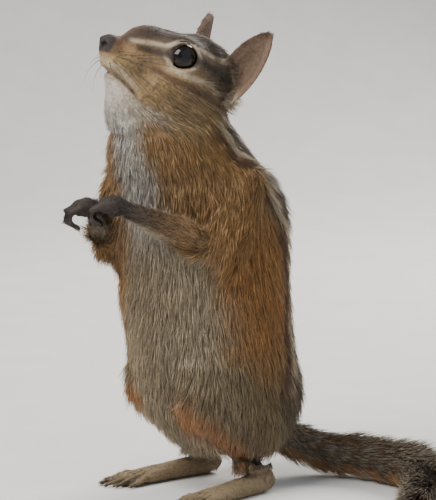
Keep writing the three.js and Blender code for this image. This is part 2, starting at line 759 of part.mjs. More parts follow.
function tailNodes() {
  const belowFloor = past(at(30, 30, 0), at(0, 0, -1));
  const whole = joined([tailCore(), ...tailLocks()]).subtract(joined([trunkGrown, belowFloor]));
  const cuts = TAIL_CUTS.map((share) => {
    const turn = new THREE.Quaternion().setFromUnitVectors(at(1, 0, 0), tailCurve.getTangentAt(share));
    return block(tailCurve.getPointAt(share), [SEAM, 40, 40], turn);
  });
  const pieces = whole.subtract(joined(cuts)).decompose();
  const along = (piece) => piece.boundingBox().max[0];
  return pieces.filter((p) => p.volume() > 60).sort((a, b) => along(a) - along(b));
}

// The whole animal

const model = new THREE.Group();
const trunkParts = trunkNodes();
const tailParts = tailNodes();
model.add(meshOf("head", headSolid, coat.face));
model.add(meshOf("neck", trunkParts.neck, coat.throat));
model.add(meshOf("torso", trunkParts.torso, coat.belly));
for (const [side, way] of sides) {
  model.add(meshOf(`eye_${side}`, eyeSolid(side), coat.eye));
  const upperArm = rootNode(armCell(side, 0), armMiddle(side), 22, LIMB_STEP);
  const thigh = rootNode(thighCell(side, 0), thighOf(side).centre, 28, LIMB_STEP);
  model.add(meshOf(`ear_${side}`, earNode(side, way, headGrown), coat.ear));
  model.add(meshOf(`upper_arm_${side}`, upperArm, coat.limb));
  model.add(meshOf(`forearm_${side}`, forearmNode(side), coat.limb));
  model.add(meshOf(`hand_${side}`, handNode(side), coat.paw));
  model.add(meshOf(`thigh_${side}`, thigh, coat.back));
  model.add(meshOf(`shank_${side}`, shankNode(side), coat.limb));
  model.add(meshOf(`foot_${side}`, footNode(side, way), coat.paw));
}
const tailNames = ["tail_root", "tail_middle", "tail_tip"];
tailNames.forEach((name, i) => model.add(meshOf(name, tailParts[i], coat.tail)));

// The origin is on the floor, at the middle of the whole outline
const outline = new THREE.Box3().setFromObject(model);
const middle = outline.getCenter(at(0, 0, 0));
for (const mesh of model.children) mesh.geometry.translate(-middle.x, -middle.y, 0);

export default model;
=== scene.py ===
"""A life-size chipmunk that stands upright with its forepaws together: skin, coat, eyes, claws and studio."""

import math

import bpy
import numpy as np
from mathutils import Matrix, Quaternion, Vector, noise
from mathutils.bvhtree import BVHTree


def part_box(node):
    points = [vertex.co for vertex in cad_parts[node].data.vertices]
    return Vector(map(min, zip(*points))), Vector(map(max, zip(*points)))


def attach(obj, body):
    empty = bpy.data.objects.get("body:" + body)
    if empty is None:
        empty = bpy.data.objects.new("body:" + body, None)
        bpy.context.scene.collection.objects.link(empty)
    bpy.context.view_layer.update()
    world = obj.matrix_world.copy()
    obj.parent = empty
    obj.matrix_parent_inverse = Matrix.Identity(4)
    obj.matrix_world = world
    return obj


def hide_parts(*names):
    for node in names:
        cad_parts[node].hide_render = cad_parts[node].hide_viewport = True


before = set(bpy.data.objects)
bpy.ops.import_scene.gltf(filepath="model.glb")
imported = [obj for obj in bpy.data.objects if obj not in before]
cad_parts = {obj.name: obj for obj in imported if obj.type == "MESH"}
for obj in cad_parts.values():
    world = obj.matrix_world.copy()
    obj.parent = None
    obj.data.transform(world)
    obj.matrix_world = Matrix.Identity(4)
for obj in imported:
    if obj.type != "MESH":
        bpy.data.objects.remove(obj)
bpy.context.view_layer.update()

# Sizes, in millimetres, in the animal's own frame: +Z up, hind feet towards -Y, +X its left

MM = 0.001
SEED = 4127

EYE_MIDPOINT = np.array((-0.2, -11.2, 106.1))
EYE_SPREAD = 6.7
EYE_RADIUS = 3.66
HEAD_YAW, HEAD_PITCH, HEAD_ROLL = -13, 20, 3
CHEST_YAW = 20
HEAD_CUT_HEIGHT = 93.2
HEAD_CUT_UP = np.array((0, -math.sin(math.radians(14)), math.cos(math.radians(14))))
TRUNK_AXIS = [(0.6, 2, 20), (0.4, 0, 44), (0, -1.6, 58), (-0.4, -4, 71), (-1, -9.8, 84), (-1.5, -12, 96)]

TAIL_LINE = [
    (0, 12, 19),
    (2.5, 21, 11.5),
    (8, 29, 7),
    (17, 35, 5.9),
    (28, 37, 5.6),
    (39, 34.5, 5.6),
    (49, 28, 5.1),
    (56, 19, 4.4),
]
TAIL_CORE = [(0, 4.6), (0.12, 3.4), (0.3, 2.5), (0.8, 1.8), (1, 1.1)]

SHOULDERS = {"left": (14.2, -1.0, 75), "right": (-14.6, -11.2, 75)}
ELBOWS = {"left": (18.3, -10.4, 61), "right": (-12.1, -20.4, 61)}
WRISTS = {"left": (7, -30.5, 71.5), "right": (-4, -30, 70)}
HANDS_POINT = {"left": (-0.68, -0.72, 0), "right": (-0.35, -0.93, 0)}
HIPS = {"left": (11, 9, 31), "right": (-11, 12, 31)}
KNEES = {"left": (13.5, -15, 26), "right": (-11, -10, 25.5)}
ANKLES = {"left": (12.5, 7.5, 6), "right": (-11.5, 11, 6)}
EAR_BASE = {"left": (-13, 9, -3.6), "right": (-11.3, -9, -3.2)}
EAR_LEAN = {"left": (-0.12, 0.42, 0.9), "right": (-0.1, -0.34, 0.94)}
SIDES = (("left", 1), ("right", -1))

# Eyes: where each looks (forward, out, up), half the length and height of the opening between the lids, how
# far the lid's edge rolls up, its gap over the eye, and how far the skin lies inside the eye in the opening
EYE_LOOK = (0.25, 1.0, 0.12)
EYE_OPENING = (3.25, 2.5)
LID_ROLL = 0.34
LID_GAP = 0.06
SOCKET_DEPTH = 0.5

# The line between the lips (forward and up of the eyes) and the left nostril (forward, left, up)
MOUTH = [(16.5, -8.0), (14.5, -8.5), (12, -9.2), (9.5, -10.4), (7.2, -12.0), (6.2, -12.8)]
NOSTRIL = (17.3, 1.35, -3.1)

# Digits: the step from one to the next, their lengths, and the furrows between them
KNUCKLES_AHEAD = 4.6
FINGER_STEP = 1.35
FINGER_LENGTH = 6.2
HEEL_BACK = 2.6
FOOT_LENGTH = 24.5
FOOT_TURN_OUT = 2.6
TOE_STEP = 1.5
TOE_LENGTH = 8.5
TOE_SHARES = (0.82, 1, 1.04, 0.98, 0.72)
GAP_WIDTH = 0.34
GAP_DEPTH = 0.6

# Claws: length, and radius at the root
FINGER_CLAW = (1.9, 0.34)
TOE_CLAW = (2.7, 0.45)

# A taper from the elbow back into the flank: steps back from the elbow with millimetres inwards, and radii
ELBOW_BACK = (((0, 5, -1.5), 1), ((0, 12, -4), 5))
ELBOW_RADII = (3.9, 5.2, 5.4, 3.4)

# The skin: the size of its mesh, how far it is swollen before it is smoothed, and its gap to the floor
SKIN_VOXEL = 0.42
SKIN_SWELL = 0.25
HAND_SWELL = 0.22
SMOOTH_IN, SMOOTH_OUT = 0.55, -0.57
FLOOR_GAP = 0.03

# Per region of the skin: how far the skin lies inside the solids, how long and wide the hair is, how many
# hairs there are to a square millimetre, how far they are raised (degrees), and how much the skin is smoothed
SETTINGS = ("depth", "length", "width", "density", "lift", "soft")
REGIONS = {
    "head": (0.9, 2.3, 0.2, 13, 17, 0.5),
    "neck": (2.2, 5.2, 0.27, 7, 24, 1),
    "torso": (2.6, 6.6, 0.31, 5.6, 23, 1),
    "upper_arm": (1.8, 4.6, 0.27, 7, 22, 1),
    "forearm": (1.0, 3.2, 0.22, 10, 22, 0.9),
    "hand": (0.15, 0.9, 0.14, 14, 16, 0.12),
    "thigh": (2.4, 6.2, 0.3, 6, 22, 1),
    "shank": (1.0, 2.4, 0.22, 9, 18, 0.9),
    "foot": (0.3, 1.7, 0.16, 13, 17, 0.25),
    "ear": (0.22, 1.1, 0.13, 11, 16, 0.35),
    "tail": (0.0, 9.5, 0.3, 0, 40, 0.8),
}

# Layers of the coat: the share of the density, how long, wide and raised its hairs are against the settings,
# and the rings of points each hair has before its tip
LAYERS = {
    "guard": dict(density=0.62, length=1.0, width=1.0, lift=1.0, rings=(0.0, 0.55), seed=11),
    "fine": dict(density=0.8, length=0.85, width=0.68, lift=1.15, rings=(0.0,), seed=12),
}
PIECE_TRIANGLES = 180000
ROOT_DEPTH = 0.25
HAIR_TAPER = 0.6
HAIR_FLATNESS = 0.6
HAIR_BEND = 0.35

# Neighbouring hairs lean together in small and in broad locks: the locks' sizes, and how much the hairs lean
SMALL_LOCK, SMALL_LEAN = 2.4, 0.42
BROAD_LOCK, BROAD_LEAN = 9, 0.25

# Shade along a hair, and the share and shades of the hairs that are darker or lighter than the rest
HAIR_SHADES = ((0, 0.5), (0.55, 0.95), (1, 1.18))
GRIZZLED_SHARE = 0.13
GRIZZLED_SHADES = (0.5, 1.45)
DOWN_THE_HEEL = (0, -0.45, -1)

# The tail's hair: how many, how many in a piece, and length and lift in degrees by the share along the tail
TAIL_TUFTS = 15000
TAIL_PIECE = 12000
TAIL_RINGS = (0.0, 0.35, 0.7)
TAIL_HAIR_BEND = 0.3
TAIL_LOCK, TAIL_LEAN = 2.6, 0.28
TAIL_HAIR_LENGTH = ((0.1, 5.5), (0.3, 9.5), (0.6, 12.5), (1, 13))
TAIL_HAIR_LIFT = ((0.1, 30), (0.9, 33), (1, 14))

# The unwrap: the width of a tuft's patch, and the squares along one side, one square to a node
UV_PATCH = 0.003
UV_GRID = 5

WHISKER_ROWS, WHISKER_COLUMNS = 4, 5
WHISKER_RADIUS = 0.075

# The longer hairs over and under each eye: side, height over the eye, and how much they rise
BROW_HAIRS = ((1, 4.2, 0.22), (-1, 4.2, 0.22), (1, -7, -0.3), (-1, -7, -0.3))
BROW_TURNS = (-0.9, -0.5, -0.1)
BROW_RADIUS = 0.055

# Colours, as they look in daylight (sRGB)

COLOURS = {
    "crown": (88, 74, 59),
    "dark_stripe": (50, 40, 32),
    # The brown of the stripes also serves for painted shade behind the nose and along the hind leg
    "brown_stripe_and_shade": (86, 62, 42),
    "pale_stripe": (178, 162, 136),
    "cheek": (146, 120, 82),
    "muzzle": (132, 102, 70),
    "throat": (180, 174, 164),
    "tawny": (144, 110, 68),
    "flank": (150, 108, 62),
    "belly": (158, 142, 116),
    "haunch": (122, 106, 78),
    # The rust of the hind leg's edge is partly its own colour and partly painted sunlight
    "rust_and_sunlight": (162, 108, 58),
    "fringe": (198, 184, 158),
    "paw": (54, 45, 40),
    "foot": (134, 116, 90),
    "ear_inner": (112, 90, 75),
    "ear_outer": (94, 76, 60),
    "ear_rim": (170, 150, 130),
    "nose": (54, 45, 42),
    "lip": (66, 48, 44),
    "lid": (60, 48, 41),
    "tail_band": (50, 40, 31),
    "tail_core": (154, 106, 60),
    "tail_frost": (188, 174, 148),
    "iris": (24, 15, 10),
    "pupil": (6, 5, 5),
    "horn": (74, 60, 50),
    "whisker": (36, 28, 24),
}

# Lines along each side of the head: colour, strength, half their width, and how high they run over the eye's
# level at places forward of the eye, from the nose back
FACE_LINES = (
    ("dark_stripe", 0.75, 1.4,
     [(12.7, 0.8), (10.2, 2.6), (6.7, 3.9), (3.3, 4.7), (-0.8, 5.2), (-5.2, 4.8), (-9, 4.4)]),
    ("pale_stripe", 0.65, 0.5,
     [(11, 0), (7.9, 0.8), (5.3, 1.2), (3.7, 1.7), (0.6, 3.1), (-3.5, 2.9), (-10, 2.2)]),
    ("dark_stripe", 0.85, 0.75,
     [(9.6, -1.1), (6.3, -0.8), (3.6, -0.5), (0, 0), (-3.8, 0.5), (-7.5, -0.2), (-11.6, -1.5)]),
    ("pale_stripe", 0.85, 0.55, [(2.6, -3.2), (-0.3, -3.9), (-4.6, -3.8), (-8.7, -4.3), (-13.9, -5.1)]),
    ("brown_stripe_and_shade", 0.85, 0.8, [(4.7, -4.9), (1.6, -5.6), (-2.4, -5.9), (-7.2, -6.2), (-12.1, -7.1)]),
)

# Stripes down each side of the back: degrees from its middle, colour, and half their width in degrees
BACK_STRIPES = (
    (0, "dark_stripe", 5),
    (14, "crown", 5),
    (27, "dark_stripe", 5.5),
    (40, "pale_stripe", 5),
    (53, "dark_stripe", 5),
    (65, "pale_stripe", 4.5),
    (75, "brown_stripe_and_shade", 4),
)

# By height: which way the middle of the belly faces, and how far round the sides the belly reaches (degrees)
BELLY_TURN = ((25, 8), (50, 23), (62, CHEST_YAW + 4), (74, 12), (84, 8), (100, HEAD_YAW))
BELLY_EDGE = ((20, 48), (45, 43), (60, 35), (74, 19), (86, 16), (98, 40))

# Short furrows where the coat parts, each from one point to another; along them the coat's colour is darkened
# with painted shade
CREASES = (
    ((9.6, -21.8, 86.4), (12.2, -19.4, 84.9)),
    ((12.2, -19.4, 84.9), (14.4, -15.3, 82.4)),
    ((17.7, -13.5, 35.0), (20.5, -6.7, 41.0)),
    ((14.2, -17.9, 31.9), (15.8, -16.5, 33.7)),
)

# The studio, in metres and degrees. The floor's colour is linear; its profile runs from in front to behind
CAMERA_AZIMUTH, CAMERA_ELEVATION = 50, 8
CAMERA_LENS, CAMERA_SENSOR = 200, 36
PHOTO_SCALE = 4.1
PHOTO_SIZE = (436, 500)
PHOTO_ORIGIN = (206, 487)
FLOOR_COLOUR = (0.62, 0.61, 0.59)
FLOOR_FRONT, FLOOR_BEND, FLOOR_CURVE = -0.9, 0.5, 0.35
FLOOR_BACK = (0.85, 0.2)
FLOOR_HALF_WIDTH = 1.6
SKY_COLOUR = (0.75, 0.8, 0.88, 1)
SKY_STRENGTH = 0.5
LIGHT_AIM = 0.06

# Each light: its direction (right, up, towards the camera), distance, size, power and colour
LIGHTS = {
    "key": ((-0.75, 0.95, 0.75), 0.7, 0.5, 9, (1.0, 0.97, 0.93)),
    "fill": ((0.9, 0.35, 0.9), 0.9, 1.5, 4.2, (0.9, 0.95, 1.0)),
    "rim": ((0.55, 0.9, -0.9), 0.6, 0.35, 5, (1.0, 0.95, 0.86)),
}


def linear(colour):
    share = np.array(colour, float) / 255
    return np.where(share <= 0.04045, share / 12.92, ((share + 0.055) / 1.055) ** 2.4)


PALETTE = {name: linear(colour) for name, colour in COLOURS.items()}


# Small numeric helpers


def unit(v):
    v = np.asarray(v, float)
    return v / np.maximum(np.linalg.norm(v, axis=-1, keepdims=True), 1e-12)


def rise(low, high, x):
    """0 below low, 1 above high and smooth in between."""
    t = np.clip((x - low) / (high - low), 0, 1)
    return t * t * (3 - 2 * t)


def band(x, middle, half_width, blur):
    """1 within half_width of middle, falling to 0 over the blur."""
    return 1 - rise(half_width - blur / 2, half_width + blur / 2, np.abs(x - middle))


def mix(a, b, share):
    """From colour a, at 0, to colour b, at 1. Each is a name or the colours themselves."""
    a, b = (PALETTE[colour] if isinstance(colour, str) else colour for colour in (a, b))
    share = np.asarray(share)[..., None]
    return a * (1 - share) + b * share


def cloud(points, size, seed=0):
    """Smooth noise, about -1 to 1, with lumps of this size."""
    shift = Vector((seed * 17.3, seed * 5.1, seed * 9.7))
    return np.array([noise.noise(Vector(p) / size + shift) for p in points])


def turned(yaw, pitch=0, roll=0):
    """The matrix whose columns are forward, left and up of a part held with this yaw, pitch and roll."""
    face_front = Quaternion((0, 0, 1), math.radians(yaw - 90))
    nose_up = Quaternion((0, 1, 0), math.radians(-pitch))
    tilt = Quaternion((1, 0, 0), math.radians(-roll))
    return np.array((face_front @ nose_up @ tilt).to_matrix())


HEAD_AXES = turned(HEAD_YAW, HEAD_PITCH, HEAD_ROLL)


def eye_offset():
    """From the animal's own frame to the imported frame, in millimetres, by the places of the two eyes."""
    corners = [np.array(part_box(f"eye_{side}")) for side, _ in SIDES]
    return np.mean(corners, axis=(0, 1)) / MM - EYE_MIDPOINT


OFFSET = eye_offset()


def to_head(points):
    """Forward, left and up of the midpoint between the eyes."""
    return (points - EYE_MIDPOINT) @ HEAD_AXES


def from_head(forward, left, up):
    return EYE_MIDPOINT + HEAD_AXES @ np.array((forward, left, up), float)


def curve_points(line, count):
    """Points at even steps along a smooth curve through the line, and the directions there."""
    line = np.array(line, float)
    ends = np.vstack([2 * line[0] - line[1], line, 2 * line[-1] - line[-2]])
    fine = []
    for i in range(len(line) - 1):
        p0, p1, p2, p3 = ends[i : i + 4]
        for t in np.linspace(0, 1, 20, endpoint=False):
            fine.append(
                0.5 * (2 * p1 + (p2 - p0) * t + (2 * p0 - 5 * p1 + 4 * p2 - p3) * t**2
                       + (3 * p1 - p0 - 3 * p2 + p3) * t**3)
            )
    fine = np.array(fine + [line[-1]])
    travelled = np.concatenate([[0], np.cumsum(np.linalg.norm(np.diff(fine, axis=0), axis=1))])
    wanted = np.linspace(0, travelled[-1], count)
    points = np.stack([np.interp(wanted, travelled, fine[:, k]) for k in range(3)], axis=1)
    return points, unit(np.gradient(points, axis=0))


def tube(points, radii, sides):
    """Vertices and faces of a closed tapered tube."""
    points = np.array(points, float)
    along = unit(np.gradient(points, axis=0))
    side = unit(np.cross(along, (0.12, 0.2, 1)))
    over = np.cross(side, along)
    angle = np.linspace(0, 2 * np.pi, sides, endpoint=False)
    radii = np.broadcast_to(np.asarray(radii, float), (len(points),))
    ring = (
        points[:, None]
        + side[:, None] * (np.cos(angle)[None, :, None] * radii[:, None, None])
        + over[:, None] * (np.sin(angle)[None, :, None] * radii[:, None, None])
    )
    verts = [*ring.reshape(-1, 3), points[0], points[-1]]
    first, last = len(verts) - 2, len(verts) - 1
    faces = []
    for i in range(len(points) - 1):
        for s in range(sides):
            a, b = i * sides + s, i * sides + (s + 1) % sides
            faces.append((a, a + sides, b + sides, b))
    end = (len(points) - 1) * sides
    for s in range(sides):
        t = (s + 1) % sides
        faces.append((first, s, t))
        faces.append((last, end + t, end + s))
    return np.array(verts), faces


def in_scene(name, data):
    """An object of this mesh, light or camera."""
    obj = bpy.data.objects.new(name, data)
    bpy.context.scene.collection.objects.link(obj)
    return obj


def new_object(name, verts, faces, material):
    """An object from points in the animal's own frame, in millimetres."""
    mesh = bpy.data.meshes.new(name)
    placed = ((np.asarray(verts) + OFFSET) * MM).tolist()
    mesh.from_pydata(placed, [], [tuple(int(i) for i in face) for face in faces])
    mesh.validate()
    mesh.materials.append(material)
    mesh.shade_smooth()
    return in_scene(name, mesh)


def merged(parts):
    """One set of vertices and faces from several."""
    verts, faces, count = [], [], 0
    for part_verts, part_faces in parts:
        verts.append(np.asarray(part_verts, float))
        faces += [tuple(i + count for i in face) for face in part_faces]
        count += len(part_verts)
    return np.vstack(verts), faces


# The skin: one surface from all the solids of flesh


def node_arrays(obj):
    """A node's points, in the animal's own frame, and its triangles, with shared points merged."""
    mesh = obj.data
    mesh.calc_loop_triangles()
    points = np.empty(len(mesh.vertices) * 3)
    mesh.vertices.foreach_get("co", points)
    triangles = np.empty(len(mesh.loop_triangles) * 3, int)
    mesh.loop_triangles.foreach_get("vertices", triangles)
    points, home = np.unique(np.round(points.reshape(-1, 3) / MM, 3), axis=0, return_inverse=True)
    triangles = home.reshape(-1)[triangles].reshape(-1, 3)
    whole = (triangles[:, 0] != triangles[:, 1]) & (triangles[:, 1] != triangles[:, 2])
    whole &= triangles[:, 0] != triangles[:, 2]
    return points - OFFSET, triangles[whole]


def point_normals(points, faces):
    """Normals at the points of triangles or quads."""
    a, b, c = points[faces[:, 0]], points[faces[:, 1]], points[faces[:, 2]]
    across = np.cross(b - a, c - a) if faces.shape[1] == 3 else np.cross(c - a, points[faces[:, 3]] - b)
    total = np.zeros_like(points)
    for axis in range(3):
        for corner in faces.T:
            total[:, axis] += np.bincount(corner, across[:, axis], len(points))
    return unit(total)


def region_of(node):
    """The node's name without its side, or without its place along the tail."""
    return "tail" if node.startswith("tail") else node.removesuffix("_left").removesuffix("_right")


flesh = {name: node_arrays(obj) for name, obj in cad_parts.items() if not name.startswith("eye")}


def tail_core():
    points, _ = curve_points(TAIL_LINE, 40)
    shares = np.linspace(0, 1, 40)
    radii = np.interp(shares, *zip(*TAIL_CORE))
    points[:, 2] = np.minimum(points[:, 2], 19)
    return tube(points, radii, 14)


def elbow_blend(side):
    """A taper from the elbow back into the flank, so that the forearm doesn't end in an edge."""
    elbow, wrist = np.array(ELBOWS[side], float), np.array(WRISTS[side], float)
    inward = -np.sign(elbow[0]) * np.array((1, 0, 0))
    back = [elbow + step + inset * inward for step, inset in ELBOW_BACK]
    return tube([elbow + 0.3 * (wrist - elbow), elbow, *back], ELBOW_RADII, 16)


def remeshed(parts, voxel):
    """One closed surface of quads about all the parts, without the shells inside it."""
    verts, faces = merged(parts)
    mesh = bpy.data.meshes.new("rough_skin")
    mesh.from_pydata(verts.tolist(), [], faces)
    obj = in_scene("rough_skin", mesh)
    remesh = obj.modifiers.new("voxels", "REMESH")
    remesh.mode = "VOXEL"
    remesh.voxel_size = voxel
    remesh.adaptivity = 0
    evaluated = obj.evaluated_get(bpy.context.evaluated_depsgraph_get())
    result = bpy.data.meshes.new_from_object(evaluated)
    points = np.empty(len(result.vertices) * 3)
    result.vertices.foreach_get("co", points)
    quads = np.empty(len(result.loops), int)
    result.loops.foreach_get("vertex_index", quads)
    bpy.data.objects.remove(obj)
    bpy.data.meshes.remove(result)
    return largest_shell(points.reshape(-1, 3), quads.reshape(-1, 4))


def largest_shell(points, quads):
    label = np.arange(len(points))
    pairs = np.vstack([quads[:, [k, (k + 1) % 4]] for k in range(4)])
    while True:
        lowest = np.minimum(label[pairs[:, 0]], label[pairs[:, 1]])
        spread = label.copy()
        np.minimum.at(spread, pairs[:, 0], lowest)
        np.minimum.at(spread, pairs[:, 1], lowest)
        spread = spread[spread]
        if (spread == label).all():
            break
        label = spread
    biggest = np.bincount(label).argmax()
    keep = label == biggest
    renumber = np.cumsum(keep) - 1
    return points[keep], renumber[quads[keep[quads[:, 0]]]]


class Surface:
    """The skin's points and quads, with the region values at each point."""

    def __init__(self, points, quads):
        self.points = points
        self.quads = quads
        self.first = quads.reshape(-1)
        self.second = quads[:, [1, 2, 3, 0]].reshape(-1)
        self.links = np.maximum(np.bincount(self.first, minlength=len(points)), 1)

    def average(self, values):
        """Each point's neighbours' mean."""
        if values.ndim == 1:
            return np.bincount(self.first, values[self.second], len(values)) / self.links
        return np.stack([self.average(values[:, k]) for k in range(values.shape[1])], axis=1)

    def blurred(self, values, passes):
        for _ in range(passes):
            values = 0.5 * values + 0.5 * self.average(values)
        return values

    def smooth(self, weight, passes):
        """Smooths the form without shrinking it."""
        for _ in range(passes):
            for step in (SMOOTH_IN, SMOOTH_OUT):
                pull = self.average(self.points) - self.points
                self.points = self.points + (weight * step)[:, None] * pull

    def normals(self):
        return point_normals(self.points, self.quads)


def build_skin():
    parts = []
    for name, (points, triangles) in flesh.items():
        if not name.startswith("tail"):
            swell = HAND_SWELL if region_of(name) == "hand" else SKIN_SWELL
            parts.append((points + swell * point_normals(points, triangles), triangles.tolist()))
    parts += [elbow_blend(side) for side, _ in SIDES]
    parts.append(tail_core())
    return Surface(*remeshed(parts, SKIN_VOXEL))


def nearest_regions(points):
    """The region of the solids nearest to each point."""
    names = list(flesh)
    verts, faces = merged([(p, t.tolist()) for p, t in flesh.values()])
    owner = np.repeat(np.arange(len(names)), [len(t) for _, t in flesh.values()])
    tree = BVHTree.FromPolygons(verts.tolist(), faces)
    hits = np.array([tree.find_nearest(p)[2] for p in points.tolist()])
    return np.array(names)[owner[hits]]


skin = build_skin()
skin_node = nearest_regions(skin.points)
skin_region = np.array([region_of(node) for node in skin_node])


def region_values(key, passes=24):
    """A setting at each point of the skin, blurred where regions meet; the head's turns into the neck's."""
    column = SETTINGS.index(key)
    values = np.zeros(len(skin.points))
    for region, settings in REGIONS.items():
        values[skin_region == region] = settings[column]
    above_neck = (skin.points - (0, -10, HEAD_CUT_HEIGHT)) @ HEAD_CUT_UP
    neckward = rise(10, 0, above_neck) * (skin_region == "head")
    return skin.blurred(values * (1 - neckward) + REGIONS["neck"][column] * neckward, passes)


def knuckles_of(side):
    reach = unit(np.subtract(WRISTS[side], ELBOWS[side]))
    return np.array(WRISTS[side]) + reach * 0.3 + unit(HANDS_POINT[side]) * KNUCKLES_AHEAD + (0, 0, 0.6)


def ball_of(side, way):
    """The ball of the foot, where the toes begin."""
    across, back, _ = ANKLES[side]
    return np.array((across + way * FOOT_TURN_OUT, back + HEEL_BACK - FOOT_LENGTH, 0))


def eye_distance(points, way):
    return np.linalg.norm(to_head(points) - (0, way * EYE_SPREAD, 0), axis=1)


def eye_axes(way):
    """Columns: along the opening between the lids, up across it, and out along the line of sight."""
    look = unit(np.array(EYE_LOOK) * (1, way, 1))
    length = unit(np.cross((0, 0, 1), look)) * way
    return np.stack([length, np.cross(look, length) * way, look], axis=1)


def lid_share(points, way):
    """1 on the edge of the lids, less inside the opening and more outside it, large behind the eye."""
    local = (to_head(points) - (0, way * EYE_SPREAD, 0)) @ eye_axes(way)
    ahead, above = local[:, 0] / EYE_OPENING[0], local[:, 1] / EYE_OPENING[1]
    share = np.sqrt(ahead**2 + above**2 * (1 + 0.5 * ahead**2))
    return np.where(local[:, 2] > 0, share, 9.0)


def shape_skin():
    skin.smooth(region_values("soft", 6), 22)
    depth = region_values("depth")
    for _, way in SIDES:
        depth = depth * rise(4.6, 7.5, eye_distance(skin.points, way))
    head = to_head(skin.points)
    in_head = skin_region == "head"
    muzzle = rise(2, 10, head[:, 0]) * in_head
    depth = depth * (1 - 0.6 * muzzle) + 0.5 * rise(-4, -12, head[:, 0]) * in_head
    skin.points = skin.points - skin.normals() * depth[:, None]
    carve_face()
    carve_digits()
    for _, way in SIDES:
        centre = from_head(0, way * EYE_SPREAD, 0)
        away = skin.points - centre
        distance = np.linalg.norm(away, axis=1)
        share = lid_share(skin.points, way)
        lid = LID_ROLL * np.exp(-(((share - 1.14) / 0.16) ** 2))
        held = np.where(share < 1, EYE_RADIUS - SOCKET_DEPTH, EYE_RADIUS + LID_GAP + lid)
        close = (distance < held) | ((share < 1) & (distance < EYE_RADIUS + 1.5))
        skin.points[close] = centre + unit(away[close]) * held[close, None]
    skin.points[:, 2] = np.maximum(skin.points[:, 2], 0.02)


def mouth_gap(head):
    """How strongly each point of the head lies on the line between the lips, 0 to 1."""
    forward, height = np.array(MOUTH[::-1]).T
    line = np.interp(head[:, 0], forward, height)
    reach = rise(6.2, 8, head[:, 0])
    return np.exp(-(((head[:, 2] - line) / 0.42) ** 2)) * reach


def digit_gap(points, nodes):
    """1 in the furrows between the fingers and between the toes, 0 away from them."""
    gap = np.zeros(len(points))
    for side, way in SIDES:
        ahead = unit(HANDS_POINT[side])
        local = points - knuckles_of(side)
        place = local @ unit(np.cross(ahead, (0, 0, 1))) / FINGER_STEP
        between = np.abs(place - np.clip(np.round(place), -1, 1)) * FINGER_STEP
        furrow = np.exp(-((between / GAP_WIDTH) ** 2)) * rise(-1.2, 0.6, local @ unit(ahead - (0, 0, 0.5)))
        gap = np.where(nodes == f"hand_{side}", furrow, gap)
        local = points - ball_of(side, way)
        place = (local[:, 0] + 0.1 * way * local[:, 1]) / (TOE_STEP * (1 - 0.07 * local[:, 1]))
        between = np.abs(place - np.clip(np.floor(place) + 0.5, -1.5, 1.5)) * TOE_STEP
        furrow = np.exp(-((between / GAP_WIDTH) ** 2)) * rise(2.4, 0.4, local[:, 1])
        gap = np.where(nodes == f"foot_{side}", furrow, gap)
    return gap


def carve_digits():
    skin.points = skin.points - skin.normals() * (GAP_DEPTH * digit_gap(skin.points, skin_node))[:, None]


def carve_face():
    head = to_head(skin.points)
    normals = skin.normals()
    push = 0.75 * mouth_gap(head) * (skin_region == "head")
    cleft = np.exp(-((head[:, 1] / 0.35) ** 2)) * rise(14.5, 16.5, head[:, 0]) * rise(-8, -7, head[:, 2])
    push += 0.4 * cleft * rise(-1.8, -3.4, head[:, 2])
    for _, way in SIDES:
        forward, left, up = NOSTRIL
        away = np.linalg.norm((head - (forward, way * left, up)) * (1, 1.3, 1), axis=1)
        push += 0.9 * np.exp(-((away / 0.75) ** 2))
    skin.points = skin.points - normals * push[:, None]


shape_skin()
skin_normals = skin.normals()


# Markings, with painted light and shade: the same colours for the skin and for every hair that grows from it


def trunk_place(points):
    """The angle round the trunk from the middle of the belly, in degrees, positive to the animal's left."""
    axis = np.array(TRUNK_AXIS, float)
    height = points[:, 2]
    centre = np.stack([np.interp(height, axis[:, 2], axis[:, k]) for k in range(2)], axis=1)
    turn = np.interp(height, *zip(*BELLY_TURN))
    away = points[:, :2] - centre
    angle = np.degrees(np.arctan2(away[:, 0], -away[:, 1]))
    return (angle - turn + 180) % 360 - 180


